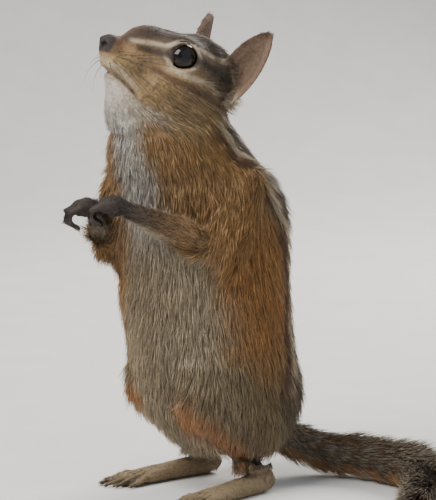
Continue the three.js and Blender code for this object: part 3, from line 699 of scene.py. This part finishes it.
def head_colours(points, wander):
    """Crown, eye and cheek stripes, pale lids and throat, dark nose and lips, and painted shade on the muzzle
    behind the nose.
    """
    head = to_head(points)
    forward, side, up = head[:, 0], np.abs(head[:, 1]), head[:, 2]

    # The crown, darker along its middle and along the top of the muzzle
    tone = mix("crown", "muzzle", rise(3, 12, forward + wander))
    top = rise(0.6, 3, up + 0.25 * forward + 0.4 * wander) * rise(-4, 3, forward)
    tone = mix(tone, "dark_stripe", 0.6 * top)
    middle_stripe = band(side, 0, 1.0, 1.4) * rise(1, -4, forward)
    tone = mix(tone, "dark_stripe", 0.7 * middle_stripe)

    # The cheeks, and the lines along the side of the head
    level = up + 0.35 * wander
    on_side = rise(1.4, 3.4, side + 0.14 * forward)
    tone = mix(tone, "cheek", rise(-0.5, -5.2, level) * on_side)
    for colour, strength, half_width, line in FACE_LINES:
        line_forward, line_height = np.array(line[::-1], float).T
        middle = np.interp(forward, line_forward, line_height)
        back, front = line_forward[0], line_forward[-1]
        ends = rise(back - 1.5, back, forward) * rise(front + 1.5, front, forward)
        tone = mix(tone, colour, strength * band(level, middle, half_width, 0.8) * ends * on_side)
    mottle = rise(0.15, 0.5, cloud(points, 1.3, 3)) * rise(-5, -8, level)
    tone = tone * (1 - 0.3 * mottle)[:, None]

    # The chin and throat, and the pale upper lip
    mouth_forward, mouth_height = np.array(MOUTH[::-1]).T
    lip_level = np.interp(forward, mouth_forward, mouth_height)
    below_lip = rise(0.4, -1.6, up - lip_level + 0.5 * wander) * rise(-3, 6, forward)
    throat = np.clip(below_lip + rise(-12.5, -15.5, up + 0.3 * side) * rise(-12, -2, forward), 0, 1)
    tone = mix(tone, "throat", throat * (0.55 + 0.3 * rise(6, 1, side)))
    upper_lip = band(up - lip_level, 1.3, 0.9, 1.2) * rise(6, 10, forward)
    tone = mix(tone, "fringe", upper_lip * 0.45)

    # The dark lids in their pale rings
    for _, way in SIDES:
        share = lid_share(points, way)
        ring = band(share, 1.44, 0.15, 0.22) * (1 - 0.9 * band(level, -0.1, 1.3, 1.4))
        tone = mix(tone, "pale_stripe", 0.85 * ring)
        tone = mix(tone, "lid", rise(1.24, 1.1, share))

    # The nose, with painted shade on the muzzle behind it, and the lips
    painted_nose_shade = rise(11.8, 14.5, forward) * rise(-5.4, -4.2, up)
    tone = mix(tone, "brown_stripe_and_shade", 0.7 * painted_nose_shade)
    pad = rise(15.0, 15.8, forward + 0.25 * (up + 2.4)) * rise(-5.2, -4.5, up)
    tone = mix(tone, "nose", pad)
    lips = np.exp(-(((up - lip_level) / 0.5) ** 2)) * rise(6.2, 8, forward) * rise(-30, -10, forward)
    return mix(tone, "lip", 0.9 * lips)


def trunk_colours(points, wander):
    """Pale belly and throat, tawny sides, and five dark stripes with pale ones between down the back."""
    angle = trunk_place(points) + 7 * wander
    height = points[:, 2]
    off_back = 180 - np.abs(angle)
    belly_edge = np.interp(height, *zip(*BELLY_EDGE))
    tone = mix("belly", "throat", rise(58, 74, height) * rise(34, 12, np.abs(angle)))
    side_tone = mix("haunch", "flank", rise(24, 46, height + 4 * wander))
    side_tone = mix(side_tone, "tawny", rise(58, 74, height))
    tone = mix(tone, side_tone, rise(belly_edge - 16, belly_edge + 18, np.abs(angle)))
    back = rise(88, 76, off_back)
    tone = mix(tone, "crown", back * 0.8)
    reach = rise(24, 34, height) * rise(101, 92, height)
    for middle, colour, half_width in BACK_STRIPES:
        tone = mix(tone, colour, band(off_back, middle, half_width, 5) * reach * 0.9)
    return tone


def leg_edge(points, tone, side):
    """The front edge of the leg below the knee, rusty, partly its own colour and partly painted sunlight,
    with a pale fringe on its inner side and a band of painted shade inward of the rust.
    """
    way = dict(SIDES)[side]
    knee, ankle = np.array(KNEES[side]), np.array(ANKLES[side])
    across = unit(np.array((0, knee[2] - ankle[2], ankle[1] - knee[1])))
    share = limb_share(points, knee, ankle)
    inward = (points - knee) @ across + np.interp(share, (0, 1), (5.6, 2.6))
    near = rise(-0.35, -0.1, share) * rise(0.9, 0.6, share) * rise(4, 7, points[:, 0] * way)
    # Painted shade: a darker band just inward of the rusty edge
    tone = mix(tone, "brown_stripe_and_shade", 0.45 * near * band(inward, 7.4, 1.2, 3))
    # The rusty edge: partly the leg's own colour, partly painted sunlight
    tone = mix(tone, "rust_and_sunlight", 0.9 * near * rise(6.8, 3.4, inward))
    fringe = near * rise(2.4, 0.8, inward) * rise(14, 11.5, points[:, 0] * way)
    return mix(tone, "fringe", 0.8 * fringe)


def limb_share(points, a, b):
    """0 at a, 1 at b."""
    a, b = np.array(a, float), np.array(b, float)
    return ((points - a) @ (b - a)) / ((b - a) @ (b - a))


def crease(points):
    """1 in the middle of a furrow, 0 away from all of them."""
    depth = np.zeros(len(points))
    for start, end in CREASES:
        start, end = np.array(start), np.array(end)
        share = np.clip(limb_share(points, start, end), 0, 1)[:, None]
        away = np.linalg.norm(points - (start + (end - start) * share), axis=1)
        depth = np.maximum(depth, np.exp(-((away / 1.1) ** 2)))
    return depth


def forearm_colours(points, side):
    """Tawny at the elbow, as dark as the paw at the wrist, and pale underneath."""
    elbow, wrist = ELBOWS[side], WRISTS[side]
    down = limb_share(points, elbow, wrist)
    shade = np.interp(down, (-0.1, 0.4), (0.75, 0.4))[:, None]
    sleeve = mix(PALETTE["tawny"] * shade, "paw", rise(0.4, 1, down))
    middle = elbow[2] + np.clip(down, 0, 1) * (wrist[2] - elbow[2])
    under = rise(-0.8, -2.2, points[:, 2] - middle) * rise(0.3, 0.6, down)
    return mix(sleeve, "fringe", 0.5 * under)


def markings_and_painted_light(points, nodes):
    """The coat's colour at each point, by the node it belongs to, with painted light and shade in it."""
    wander = cloud(points, 7, 1) + 0.5 * cloud(points, 2.6, 2)
    regions = np.array([region_of(node) for node in nodes])
    tone = trunk_colours(points, wander)
    head = to_head(points)
    head_share = rise(-17, -12, head[:, 2] * 0.35 + head[:, 0]) * rise(-17.5, -14.5, head[:, 2])
    has_face = np.isin(regions, ("head", "neck"))[:, None]
    tone = np.where(has_face, mix(tone, head_colours(points, wander), head_share), tone)
    in_sleeve = regions == "upper_arm"
    tone[in_sleeve] = mix("tawny", tone, 0.25)[in_sleeve]
    haunch = mix("haunch", "belly", 0.5 * rise(0, -16, points[:, 1]))
    shank = mix("foot", "haunch", rise(7, 13, points[:, 2]))
    foot = mix("foot", "paw", rise(-12, -26, points[:, 1]) * 0.5)
    for side, _ in SIDES:
        sleeve = forearm_colours(points, side)
        for node, colours in (("forearm", sleeve), ("thigh", haunch), ("shank", shank)):
            own = nodes == f"{node}_{side}"
            tone[own] = colours[own]
        tone = leg_edge(points, tone, side)
        for node, colours in (("foot", foot), ("ear", ear_colours(points, side))):
            own = nodes == f"{node}_{side}"
            tone[own] = colours[own]
    tone[regions == "hand"] = PALETTE["paw"]
    tone[regions == "tail"] = PALETTE["tail_core"]
    # Painted shade: darker in the furrows where the coat parts and between the fingers and toes
    dark = 0.6 * crease(points) + 0.6 * digit_gap(points, nodes)
    return tone * ((1 + 0.10 * wander) * (1 - dark))[:, None]


def ear_frame(way):
    """Base, and the ear's own along, across and facing directions."""
    side = "left" if way > 0 else "right"
    base = from_head(*EAR_BASE[side])
    along = unit(HEAD_AXES @ np.array(EAR_LEAN[side]))
    facing = unit(HEAD_AXES @ np.array((0.8, way * 0.6, -0.1)))
    across = unit(np.cross(along, facing))
    return base, along, across, np.cross(across, along)


def ear_colours(points, side):
    base, along, across, outward = ear_frame(dict(SIDES)[side])
    local = points - base
    up, sideways, out = local @ along, local @ across, local @ outward
    off_middle = np.abs(sideways)
    edge = rise(4.3, 5, off_middle + 0.06 * np.maximum(up - 12, 0) ** 2)
    inner = out > -1.8 + 0.11 * off_middle**2 * 0.9
    tone = np.where(inner[:, None], PALETTE["ear_inner"], PALETTE["ear_outer"])
    tone = mix(tone, "ear_rim", edge * 0.75)
    return mix(tone, "pale_stripe", rise(2.5, -1.5, up) * 0.7)


# The lie of the coat


def lie_of_coat(points, nodes, normals):
    """The direction the hair points along the skin."""
    regions = np.array([region_of(node) for node in nodes])
    lie = np.tile((0.0, 0.0, -1.0), (len(points), 1))
    backwards = -HEAD_AXES[:, 0]
    downwards = -HEAD_AXES[:, 2]
    head = to_head(points)
    from_nose = unit(head - (19, 0, -3)) @ HEAD_AXES.T
    in_head = regions == "head"
    lie[in_head] = unit(0.75 * from_nose + 0.45 * backwards + 0.12 * downwards)[in_head]
    lie[regions == "neck"] = unit(0.3 * backwards + np.array((0, 0, -1.0)))
    for side, way in SIDES:
        for node, a, b in (
            ("upper_arm", SHOULDERS[side], ELBOWS[side]),
            ("forearm", ELBOWS[side], WRISTS[side]),
            ("thigh", HIPS[side], KNEES[side]),
            ("shank", KNEES[side], ANKLES[side]),
        ):
            along = unit(np.subtract(b, a))
            own = nodes == f"{node}_{side}"
            lie[own] = along if node != "thigh" else unit(0.35 * along + np.array((0, 0.25, -1.0)))
            if node == "shank":
                turn = rise(0.4, 0.85, limb_share(points, a, b))
                lie[own] = mix(along, unit(DOWN_THE_HEEL), turn)[own]
        lie[nodes == f"hand_{side}"] = unit(np.array(HANDS_POINT[side]) + (0, 0, -0.3))
        lie[nodes == f"foot_{side}"] = (0, -1, 0.05)
        _, along, _, _ = ear_frame(way)
        lie[nodes == f"ear_{side}"] = along
    return lie - normals * (lie * normals).sum(1, keepdims=True)


def tuft_lie():
    lie = skin.blurred(lie_of_coat(skin.points, skin_node, skin_normals), 16)
    lie = lie - skin_normals * (lie * skin_normals).sum(1, keepdims=True)
    return unit(lie)


# Hair: each tuft is a closed, bent, three-sided spike

RING = np.array([(math.cos(a), math.sin(a)) for a in (math.pi / 2, math.pi * 7 / 6, math.pi * 11 / 6)])


def spikes(roots, lie, normals, length, width, lift, bend, rings):
    """Points of the spikes, ring by ring and then the tip, as (spikes, points, 3)."""
    side = unit(np.cross(lie, normals))
    out = []
    for share in (*rings, 1.0):
        forward = share * np.cos(lift) * length
        height = (share - bend * share * share) * np.sin(lift) * length
        centre = roots + lie * forward[:, None] + normals * height[:, None]
        if share == 1.0:
            out.append(centre[:, None])
            continue
        thick = width * (1 - share) ** HAIR_TAPER * 0.5
        for x, y in RING:
            corner = centre + side * (x * thick)[:, None] + normals * (y * HAIR_FLATNESS * thick)[:, None]
            out.append(corner[:, None])
    return np.concatenate(out, axis=1)


def spike_faces(count, rings):
    own = []
    for ring in range(rings - 1):
        for k in range(3):
            a, b = ring * 3 + k, ring * 3 + (k + 1) % 3
            own += [(a, b, b + 3), (a, b + 3, a + 3)]
    last = (rings - 1) * 3
    own += [(last + k, last + (k + 1) % 3, rings * 3) for k in range(3)]
    own.append((0, 2, 1))
    own = np.array(own)
    return (own[None] + (np.arange(count) * (rings * 3 + 1))[:, None, None]).reshape(-1, 3)


def coat_object(name, points, colours, places, material, rings):
    """One mesh of tufts, from each one's points and colours and its root's place on the unwrap."""
    count, each, _ = points.shape
    faces = spike_faces(count, rings)
    mesh = bpy.data.meshes.new(name)
    mesh.vertices.add(count * each)
    mesh.vertices.foreach_set("co", ((points.reshape(-1, 3) + OFFSET) * MM).astype(np.float32).ravel())
    mesh.loops.add(faces.size)
    mesh.loops.foreach_set("vertex_index", faces.astype(np.int32).ravel())
    mesh.polygons.add(len(faces))
    mesh.polygons.foreach_set("loop_start", np.arange(0, faces.size, 3, dtype=np.int32))
    mesh.update(calc_edges=True)
    paint(mesh, colours.reshape(-1, 3))
    per_tuft = places[faces // each]
    spot = np.stack([np.linspace(-1, 1, each), np.cos(np.arange(each) * 2.4)], axis=1) * UV_PATCH / 2
    uv = mesh.uv_layers.new(name="OFBake")
    uv.data.foreach_set("uv", (per_tuft + spot[faces % each]).astype(np.float32).ravel())
    mesh.shade_smooth()
    mesh.materials.append(material)
    return in_scene(name, mesh)


def paint(mesh, colours):
    layer = mesh.color_attributes.new("Coat", "FLOAT_COLOR", "POINT")
    rgba = np.ones((len(colours), 4), np.float32)
    rgba[:, :3] = np.clip(colours, 0.0, 1.0)
    layer.data.foreach_set("color", rgba.ravel())


def unwrap(points, nodes):
    """Each point's place on the unwrap, where every node of flesh is rolled out into its own square."""
    places = np.zeros((len(points), 2))
    for number, name in enumerate(sorted(flesh)):
        own = nodes == name
        if not own.any():
            continue
        box = flesh[name][0]
        low, high = box.min(0), box.max(0)
        upright = name.startswith(("head", "neck", "torso", "ear", "upper"))
        axis = 2 if upright else int(np.argmax(high - low))
        a, b = [k for k in range(3) if k != axis]
        local = points[own] - (low + high) / 2
        angle = np.arctan2(local[:, b], local[:, a]) / (2 * np.pi) + 0.5
        up = (points[own][:, axis] - low[axis]) / (high[axis] - low[axis])
        cell = np.array((number % UV_GRID, number // UV_GRID))
        inside = np.clip(np.stack([angle, up], axis=1), 0.01, 0.99)
        places[own] = (cell + 0.03 + 0.94 * inside) / UV_GRID
    return places


# Materials


def speckled(nodes, links, scale, low, high, source):
    """The source colour, lightened and darkened by fine noise, and the noise."""
    place = nodes.new("ShaderNodeTexCoord")
    grain = nodes.new("ShaderNodeTexNoise")
    grain.inputs["Scale"].default_value = scale
    grain.inputs["Detail"].default_value = 4
    links.new(place.outputs["Object"], grain.inputs["Vector"])
    ramp = nodes.new("ShaderNodeMapRange")
    ramp.inputs["From Min"].default_value = 0.3
    ramp.inputs["From Max"].default_value = 0.7
    ramp.inputs["To Min"].default_value = low
    ramp.inputs["To Max"].default_value = high
    links.new(grain.outputs["Fac"], ramp.inputs["Value"])
    scaled = nodes.new("ShaderNodeVectorMath")
    scaled.operation = "SCALE"
    links.new(source, scaled.inputs[0])
    links.new(ramp.outputs["Result"], scaled.inputs["Scale"])
    return scaled.outputs["Vector"], grain.outputs["Fac"]


def finish(name, speckle, sockets, colour=None, bump=0):
    """A material in the painted colours, or in one colour, speckled, with bumps of this depth in metres."""
    material = bpy.data.materials.new(name)
    material.use_nodes = True
    nodes, links = material.node_tree.nodes, material.node_tree.links
    shader = nodes["Principled BSDF"]
    source = nodes.new("ShaderNodeVertexColor" if colour is None else "ShaderNodeRGB")
    if colour is None:
        source.layer_name = "Coat"
    else:
        source.outputs[0].default_value = (*colour, 1)
    tone, grain = speckled(nodes, links, *speckle, source.outputs[0])
    links.new(tone, shader.inputs["Base Color"])
    for socket, value in sockets.items():
        shader.inputs[socket].default_value = value
    if bump:
        ridges = nodes.new("ShaderNodeBump")
        ridges.inputs["Strength"].default_value = 0.6
        ridges.inputs["Distance"].default_value = bump
        links.new(grain, ridges.inputs["Height"])
        links.new(ridges.outputs["Normal"], shader.inputs["Normal"])
    return material


fur_shine = {"Roughness": 0.6, "Specular IOR Level": 0.3, "Sheen Weight": 0.12, "Sheen Roughness": 0.4}
fur = finish("coat_fur", (900, 0.82, 1.18), fur_shine)
skin_shine = {"Roughness": 0.7, "Specular IOR Level": 0.3}
bare_skin = finish("skin_under_fur", (1400, 0.75, 1.2), skin_shine, bump=0.0003)
eye_glass = finish("eye_wet", (700, 0.6, 1.4), {"Roughness": 0.05, "IOR": 1.38})
horn = finish("claw_horn", (1500, 0.8, 1.2), {"Roughness": 0.32}, PALETTE["horn"])
whisker_hair = finish("whisker_hair", (1500, 0.8, 1.2), {"Roughness": 0.4}, PALETTE["whisker"])
pale_floor = finish("pale_floor", (60, 0.97, 1.03), {"Roughness": 0.9}, FLOOR_COLOUR)


def piece(obj):
    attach(obj, "root")
    return obj


def make_skin_object():
    obj = new_object("skin", skin.points, skin.quads, bare_skin)
    shade = np.where(np.isin(skin_region, ["hand", "foot", "ear", "head"]), 0.85, 0.6)
    paint(obj.data, markings_and_painted_light(skin.points, skin_node) * skin.blurred(shade, 8)[:, None])
    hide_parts(*flesh)
    return piece(obj)


# Roots of the hair, spread over the skin


def hair_values():
    """Length, width, density and lift of the hair at each point of the skin."""
    values = {key: region_values(key) for key in ("length", "width", "density", "lift")}
    head = to_head(skin.points)
    in_head = skin_region == "head"
    face = rise(-8, 12, head[:, 0])
    for key, nape, change in (("length", 1.35, -0.85), ("width", 1.15, -0.45), ("density", 0.75, 0.6)):
        values[key] *= np.where(in_head, nape + change * face, 1)
    for side, way in SIDES:
        down = limb_share(skin.points, ELBOWS[side], WRISTS[side])
        elbow = rise(0.6, 0, down) * (skin_node == f"forearm_{side}")
        wrist = rise(6, 1, np.linalg.norm(skin.points - WRISTS[side], axis=1)) * (skin_node == f"hand_{side}")
        values["length"] *= 1 + 0.6 * skin.blurred(elbow, 10) + 0.8 * wrist
        heel = rise(9, 4, np.linalg.norm(skin.points - ANKLES[side], axis=1))
        values["length"] *= 1 - 0.4 * skin.blurred(heel * (skin_region == "shank"), 8)
        values["lift"] *= 1 - 0.6 * heel
        near = rise(9, 4.6, eye_distance(skin.points, way))
        for key, change in (("length", -0.6), ("width", -0.35), ("density", 0.7)):
            values[key] *= 1 + change * near
        values["density"] *= rise(1.12, 1.25, lid_share(skin.points, way))
    nose_pad = rise(15.1, 15.7, head[:, 0] + 0.25 * (head[:, 2] + 2.4)) * rise(-5.3, -4.6, head[:, 2])
    values["density"] *= 1 - nose_pad
    values["density"] *= 1 - 0.9 * mouth_gap(head) * in_head
    sole = (skin_region == "foot") & (skin.points[:, 2] < 0.5)
    values["density"] = np.where(sole | (skin_region == "tail"), 0, values["density"])
    return values


def scattered(density, seed):
    """Random roots: the corners of their triangles and the shares of the three corners."""
    rng = np.random.default_rng(seed)
    triangles = np.vstack([skin.quads[:, [0, 1, 2]], skin.quads[:, [0, 2, 3]]])
    a, b, c = (skin.points[triangles[:, k]] for k in range(3))
    area = 0.5 * np.linalg.norm(np.cross(b - a, c - a), axis=1)
    wanted = area * density[triangles].mean(1)
    total = int(wanted.sum())
    edges = np.cumsum(wanted)
    chosen = np.searchsorted(edges, rng.random(total) * edges[-1])
    u, v = rng.random(total), rng.random(total)
    flip = u + v > 1
    u[flip], v[flip] = 1 - u[flip], 1 - v[flip]
    return triangles[chosen], np.stack([1 - u - v, u, v], axis=1)


def at_roots(values, corners, shares):
    if values.ndim == 1:
        return (values[corners] * shares).sum(1)
    return (values[corners] * shares[:, :, None]).sum(1)


def grow_layer(name, values, layer):
    thinned = 1
    corners, shares = scattered(values["density"] * layer["density"] * thinned, SEED + layer["seed"])
    rng = np.random.default_rng(SEED + layer["seed"] + 100)
    count = len(corners)
    roots = at_roots(skin.points, corners, shares)
    normals = unit(at_roots(skin_normals, corners, shares))
    lie = unit(at_roots(tuft_lie(), corners, shares))
    nodes = skin_node[corners[:, 0]]
    parted = crease(roots)
    length = at_roots(values["length"], corners, shares) * rng.uniform(0.7, 1.2, count) * (1 - 0.4 * parted)
    width = at_roots(values["width"], corners, shares) * rng.uniform(0.8, 1.2, count)
    lift = np.radians(at_roots(values["lift"], corners, shares) + rng.normal(0, 5, count))

    clump = np.stack([cloud(roots, SMALL_LOCK, seed) for seed in (5, 6, 7)], axis=1)
    broad = np.stack([cloud(roots, BROAD_LOCK, seed) for seed in (8, 9, 10)], axis=1)
    lie = unit(lie + SMALL_LEAN * clump + BROAD_LEAN * broad + rng.normal(0, 0.09, (count, 3)))
    lie = unit(lie - normals * (lie * normals).sum(1, keepdims=True))
    lift = np.clip(lift * layer["lift"] + np.radians(9) * clump[:, 0], np.radians(5), np.radians(60))

    rings = layer["rings"]
    sunk = roots - normals * ROOT_DEPTH
    length, width = length * layer["length"], width * layer["width"]
    points = spikes(sunk, lie, normals, length, width, lift, HAIR_BEND, rings)
    points[..., 2] = np.maximum(points[..., 2], FLOOR_GAP)
    tone = markings_and_painted_light(roots, nodes)
    tone = tone * rng.normal(1, 0.11, count).clip(0.65, 1.4)[:, None]
    grizzled = rng.random(count) < GRIZZLED_SHARE
    tone[grizzled] *= rng.choice(GRIZZLED_SHADES, grizzled.sum())[:, None]
    shades = np.interp([*np.repeat(rings, 3), 1.0], *zip(*HAIR_SHADES))
    colours = tone[:, None] * shades[:, None]
    places = unwrap(roots, nodes)
    order = np.argsort(nodes, kind="stable")
    each = PIECE_TRIANGLES // (6 * len(rings) - 2)
    for number, start in enumerate(range(0, count, each)):
        own = order[start : start + each]
        obj = coat_object(f"coat_{name}_{number}", points[own], colours[own], places[own], fur, len(rings))
        piece(obj)


def grow_coat():
    values = hair_values()
    for name, layer in LAYERS.items():
        grow_layer(name, values, layer)


def grow_tail():
    """Long hairs in overlapping locks down the tail: tawny at the root, then black, with frosted tips."""
    rng = np.random.default_rng(SEED + 2)
    count = int(TAIL_TUFTS * (1))
    line, along = curve_points(TAIL_LINE, 200)
    share = rng.uniform(0.1, 1, count) ** 0.92
    index = (share * 199).astype(int)
    centre, forward = line[index], along[index]
    side = unit(np.cross(forward, (0, 0, 1)))
    over = np.cross(side, forward)
    angle = rng.uniform(0, 2 * np.pi, count)
    flattened = np.stack([np.cos(angle), np.sin(angle) * 0.6], axis=1)
    outward = unit(side * flattened[:, :1] + over * flattened[:, 1:])
    radius = np.interp(share, *zip(*TAIL_CORE))
    roots = centre + outward * (radius * 0.85)[:, None]
    length = np.interp(share, *zip(*TAIL_HAIR_LENGTH)) * rng.uniform(0.75, 1.12, count)
    clump = np.stack([cloud(roots * (1, 1, 1.4), TAIL_LOCK, seed) for seed in (11, 12, 13)], axis=1)
    raised = np.interp(share, *zip(*TAIL_HAIR_LIFT))
    lift = np.radians(raised + 11 * clump[:, 0] + rng.normal(0, 4, count))
    lie = unit(forward + TAIL_LEAN * clump + rng.normal(0, 0.06, (count, 3)))
    lie = unit(lie - outward * (lie * outward).sum(1, keepdims=True))
    width = rng.uniform(0.24, 0.36, count)
    points = spikes(roots, lie, outward, length, width, lift, TAIL_HAIR_BEND, TAIL_RINGS)
    points[..., 2] = np.maximum(points[..., 2], FLOOR_GAP)
    tip = 1 + rng.normal(0, 0.12, count)[:, None]
    tawny, black, frost = (PALETTE[k] * tip for k in ("tail_core", "tail_band", "tail_frost"))
    under = (outward[:, 2] < -0.35)[:, None]
    black = np.where(under, mix(tawny, black, 0.35), black)
    levels = [tawny * 0.6] * 3 + [mix(tawny, black, 0.55)] * 3 + [black] * 3 + [frost]
    colours = np.stack(levels, axis=1)
    nodes = np.array(["tail_root", "tail_middle", "tail_tip"])[np.digitize(share, (0.3, 0.66))]
    places = unwrap(roots, nodes)
    order = np.argsort(share)
    for number, start in enumerate(range(0, count, TAIL_PIECE)):
        own = order[start : start + TAIL_PIECE]
        obj = coat_object(f"tail_coat_{number}", points[own], colours[own], places[own], fur, len(TAIL_RINGS))
        piece(obj)


# Eyes, claws and whiskers


def make_eyes():
    for side, way in SIDES:
        bpy.ops.mesh.primitive_uv_sphere_add(segments=48, ring_count=32, radius=1)
        ball = bpy.context.object
        points = np.array([v.co for v in ball.data.vertices])
        faces = [tuple(p.vertices) for p in ball.data.polygons]
        bpy.data.objects.remove(ball)
        look = HEAD_AXES @ eye_axes(way)[:, 2]
        facing = points @ look
        bulge = 1 + 0.03 * rise(0.8, 1, facing)
        verts = from_head(0, way * EYE_SPREAD, 0) + points * (EYE_RADIUS * bulge)[:, None]
        obj = new_object(f"eyeball_{side}", verts, faces, eye_glass)
        paint(obj.data, mix("iris", "pupil", rise(0.86, 0.93, facing)))
        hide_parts(f"eye_{side}")
        piece(obj)


def digit_tips():
    """Where each digit's claw grows, which way it points, and how long it is."""
    for side, way in SIDES:
        ahead = unit(HANDS_POINT[side])
        spread = unit(np.cross(ahead, (0, 0, 1)))
        for place in (-1.5, -0.5, 0.5, 1.5):
            bend = knuckles_of(side) + spread * place * FINGER_STEP + ahead * FINGER_LENGTH * 0.4
            end = bend + np.array((0, 0, -0.9 - FINGER_LENGTH * 0.38))
            tip = end - ahead * FINGER_LENGTH * 0.24 + (0, 0, -FINGER_LENGTH * 0.14)
            yield tip, unit(-ahead * 1.1 + np.array((0, 0, -0.9))), *FINGER_CLAW
        ball = ball_of(side, way)
        for place, share in zip((-2, -1, 0, 1, 2), TOE_SHARES):
            root = ball + (place * TOE_STEP, 1.6 + abs(place) * 0.6, 0)
            out = unit((way * 0.1 + place * 0.13, -1, 0))
            tip = root + out * TOE_LENGTH * share * 0.92 + (0, 0, 1.0)
            yield tip, unit(out + (0, 0, -0.12)), *TOE_CLAW


def make_claws():
    parts = []
    for tip, way, length, radius in digit_tips():
        shares = np.linspace(0, 1, 7)
        droop = np.array((0, 0, -0.28 * length)) * (shares**2)[:, None]
        points = tip - way * 0.5 + way * (shares * length)[:, None] + droop
        points[:, 2] = np.maximum(points[:, 2], radius * 0.5)
        parts.append(tube(points, radius * (1 - 0.93 * shares**1.3), 8))
    verts, faces = merged(parts)
    piece(new_object("claws", verts, faces, horn))


def make_whiskers():
    rng = np.random.default_rng(SEED + 3)
    parts = []
    for _, way in SIDES:
        for row in range(WHISKER_ROWS):
            for column in range(WHISKER_COLUMNS):
                forward, side = 14.2 - 1.5 * column + 0.3 * row, way * (2.7 + 0.42 * column)
                root = from_head(forward, side, -3.9 - 0.95 * row)
                out = np.array((0.1 - 0.22 * column, way * 1.0, 0.28 - 0.28 * row)) + rng.normal(0, 0.08, 3)
                direction = unit(HEAD_AXES @ out)
                sweep = HEAD_AXES @ np.array((-0.5, 0, -0.12))
                length = (11 + 1.6 * column) * rng.uniform(0.8, 1.1)
                shares = np.linspace(0, 1, 9)[:, None]
                points = root + direction * length * shares + sweep * length * shares**2 * 0.6
                parts.append(tube(points, WHISKER_RADIUS * (1 - 0.85 * shares[:, 0]), 5))
    for way, up, rising in BROW_HAIRS:
        for turn in BROW_TURNS:
            root = from_head(2 + turn * 2, way * 6.4, up)
            direction = unit(HEAD_AXES @ np.array((turn, way * 0.8, rising)))
            points = root + direction * 8 * np.linspace(0, 1, 6)[:, None]
            parts.append(tube(points, BROW_RADIUS * np.linspace(1, 0.2, 6), 4))
    verts, faces = merged(parts)
    piece(new_object("whiskers", verts, faces, whisker_hair))


# The studio


def camera_axes():
    a, e = math.radians(CAMERA_AZIMUTH), math.radians(CAMERA_ELEVATION)
    towards = Vector((math.sin(a) * math.cos(e), -math.cos(a) * math.cos(e), math.sin(e)))
    right = Vector((math.cos(a), math.sin(a), 0))
    return right, towards.cross(right), towards


def make_floor():
    """A floor that rises gently behind: high enough to fill the picture, and low enough to see over."""
    _, _, towards = camera_axes()
    back = Vector((-towards.x, -towards.y, 0)).normalized()
    side = Vector((back.y, -back.x, 0))
    profile = [(FLOOR_FRONT, 0.0), (FLOOR_BEND, 0.0)]
    for t in np.linspace(0.1, 0.75, 8):
        profile.append((FLOOR_BEND + FLOOR_CURVE * math.sin(t), FLOOR_CURVE - FLOOR_CURVE * math.cos(t)))
    profile.append(FLOOR_BACK)
    verts, faces = [], []
    for depth, height in profile:
        for across in (-FLOOR_HALF_WIDTH, FLOOR_HALF_WIDTH):
            verts.append(back * depth + side * across + Vector((0, 0, height)))
    for i in range(len(profile) - 1):
        faces.append((2 * i, 2 * i + 1, 2 * i + 3, 2 * i + 2))
    mesh = bpy.data.meshes.new("studio_floor")
    mesh.from_pydata(verts, [], faces)
    mesh.materials.append(pale_floor)
    mesh.shade_smooth()
    in_scene("studio_floor", mesh)


def aimed(name, data, place, away):
    """A light or camera at this place, looking back along the direction away from the animal."""
    obj = in_scene(name, data)
    obj.location = place
    obj.rotation_mode = "QUATERNION"
    obj.rotation_quaternion = away.to_track_quat("Z", "Y")
    return obj


def make_camera():
    right, up, towards = camera_axes()
    width, height = PHOTO_SIZE
    across = (width / 2 - PHOTO_ORIGIN[0]) / PHOTO_SCALE * MM
    raised = (PHOTO_ORIGIN[1] - height / 2) / PHOTO_SCALE * MM
    data = bpy.data.cameras.new("camera")
    data.lens = CAMERA_LENS
    data.sensor_width = CAMERA_SENSOR
    data.clip_start = 0.01
    distance = height / PHOTO_SCALE * MM * data.lens / data.sensor_width
    place = Vector(OFFSET * MM) + right * across + up * raised + towards * distance
    bpy.context.scene.camera = aimed("camera", data, place, towards)


def area_light(name, direction, distance, size, energy, colour):
    """A square light that faces the animal's middle."""
    right, up, towards = camera_axes()
    middle = Vector((OFFSET[0] * MM, OFFSET[1] * MM, LIGHT_AIM))
    way = (right * direction[0] + up * direction[1] + towards * direction[2]).normalized()
    data = bpy.data.lights.new(name, "AREA")
    data.size = size
    data.energy = energy
    data.color = colour
    aimed(name, data, middle + way * distance, way)


def make_light():
    for name, settings in LIGHTS.items():
        area_light(name, *settings)
    world = bpy.data.worlds.new("studio")
    world.use_nodes = True
    sky = world.node_tree.nodes["Background"]
    sky.inputs["Color"].default_value = SKY_COLOUR
    sky.inputs["Strength"].default_value = SKY_STRENGTH
    bpy.context.scene.world = world


make_skin_object()
grow_coat()
grow_tail()
make_eyes()
make_claws()
make_whiskers()
make_floor()
make_camera()
make_light()
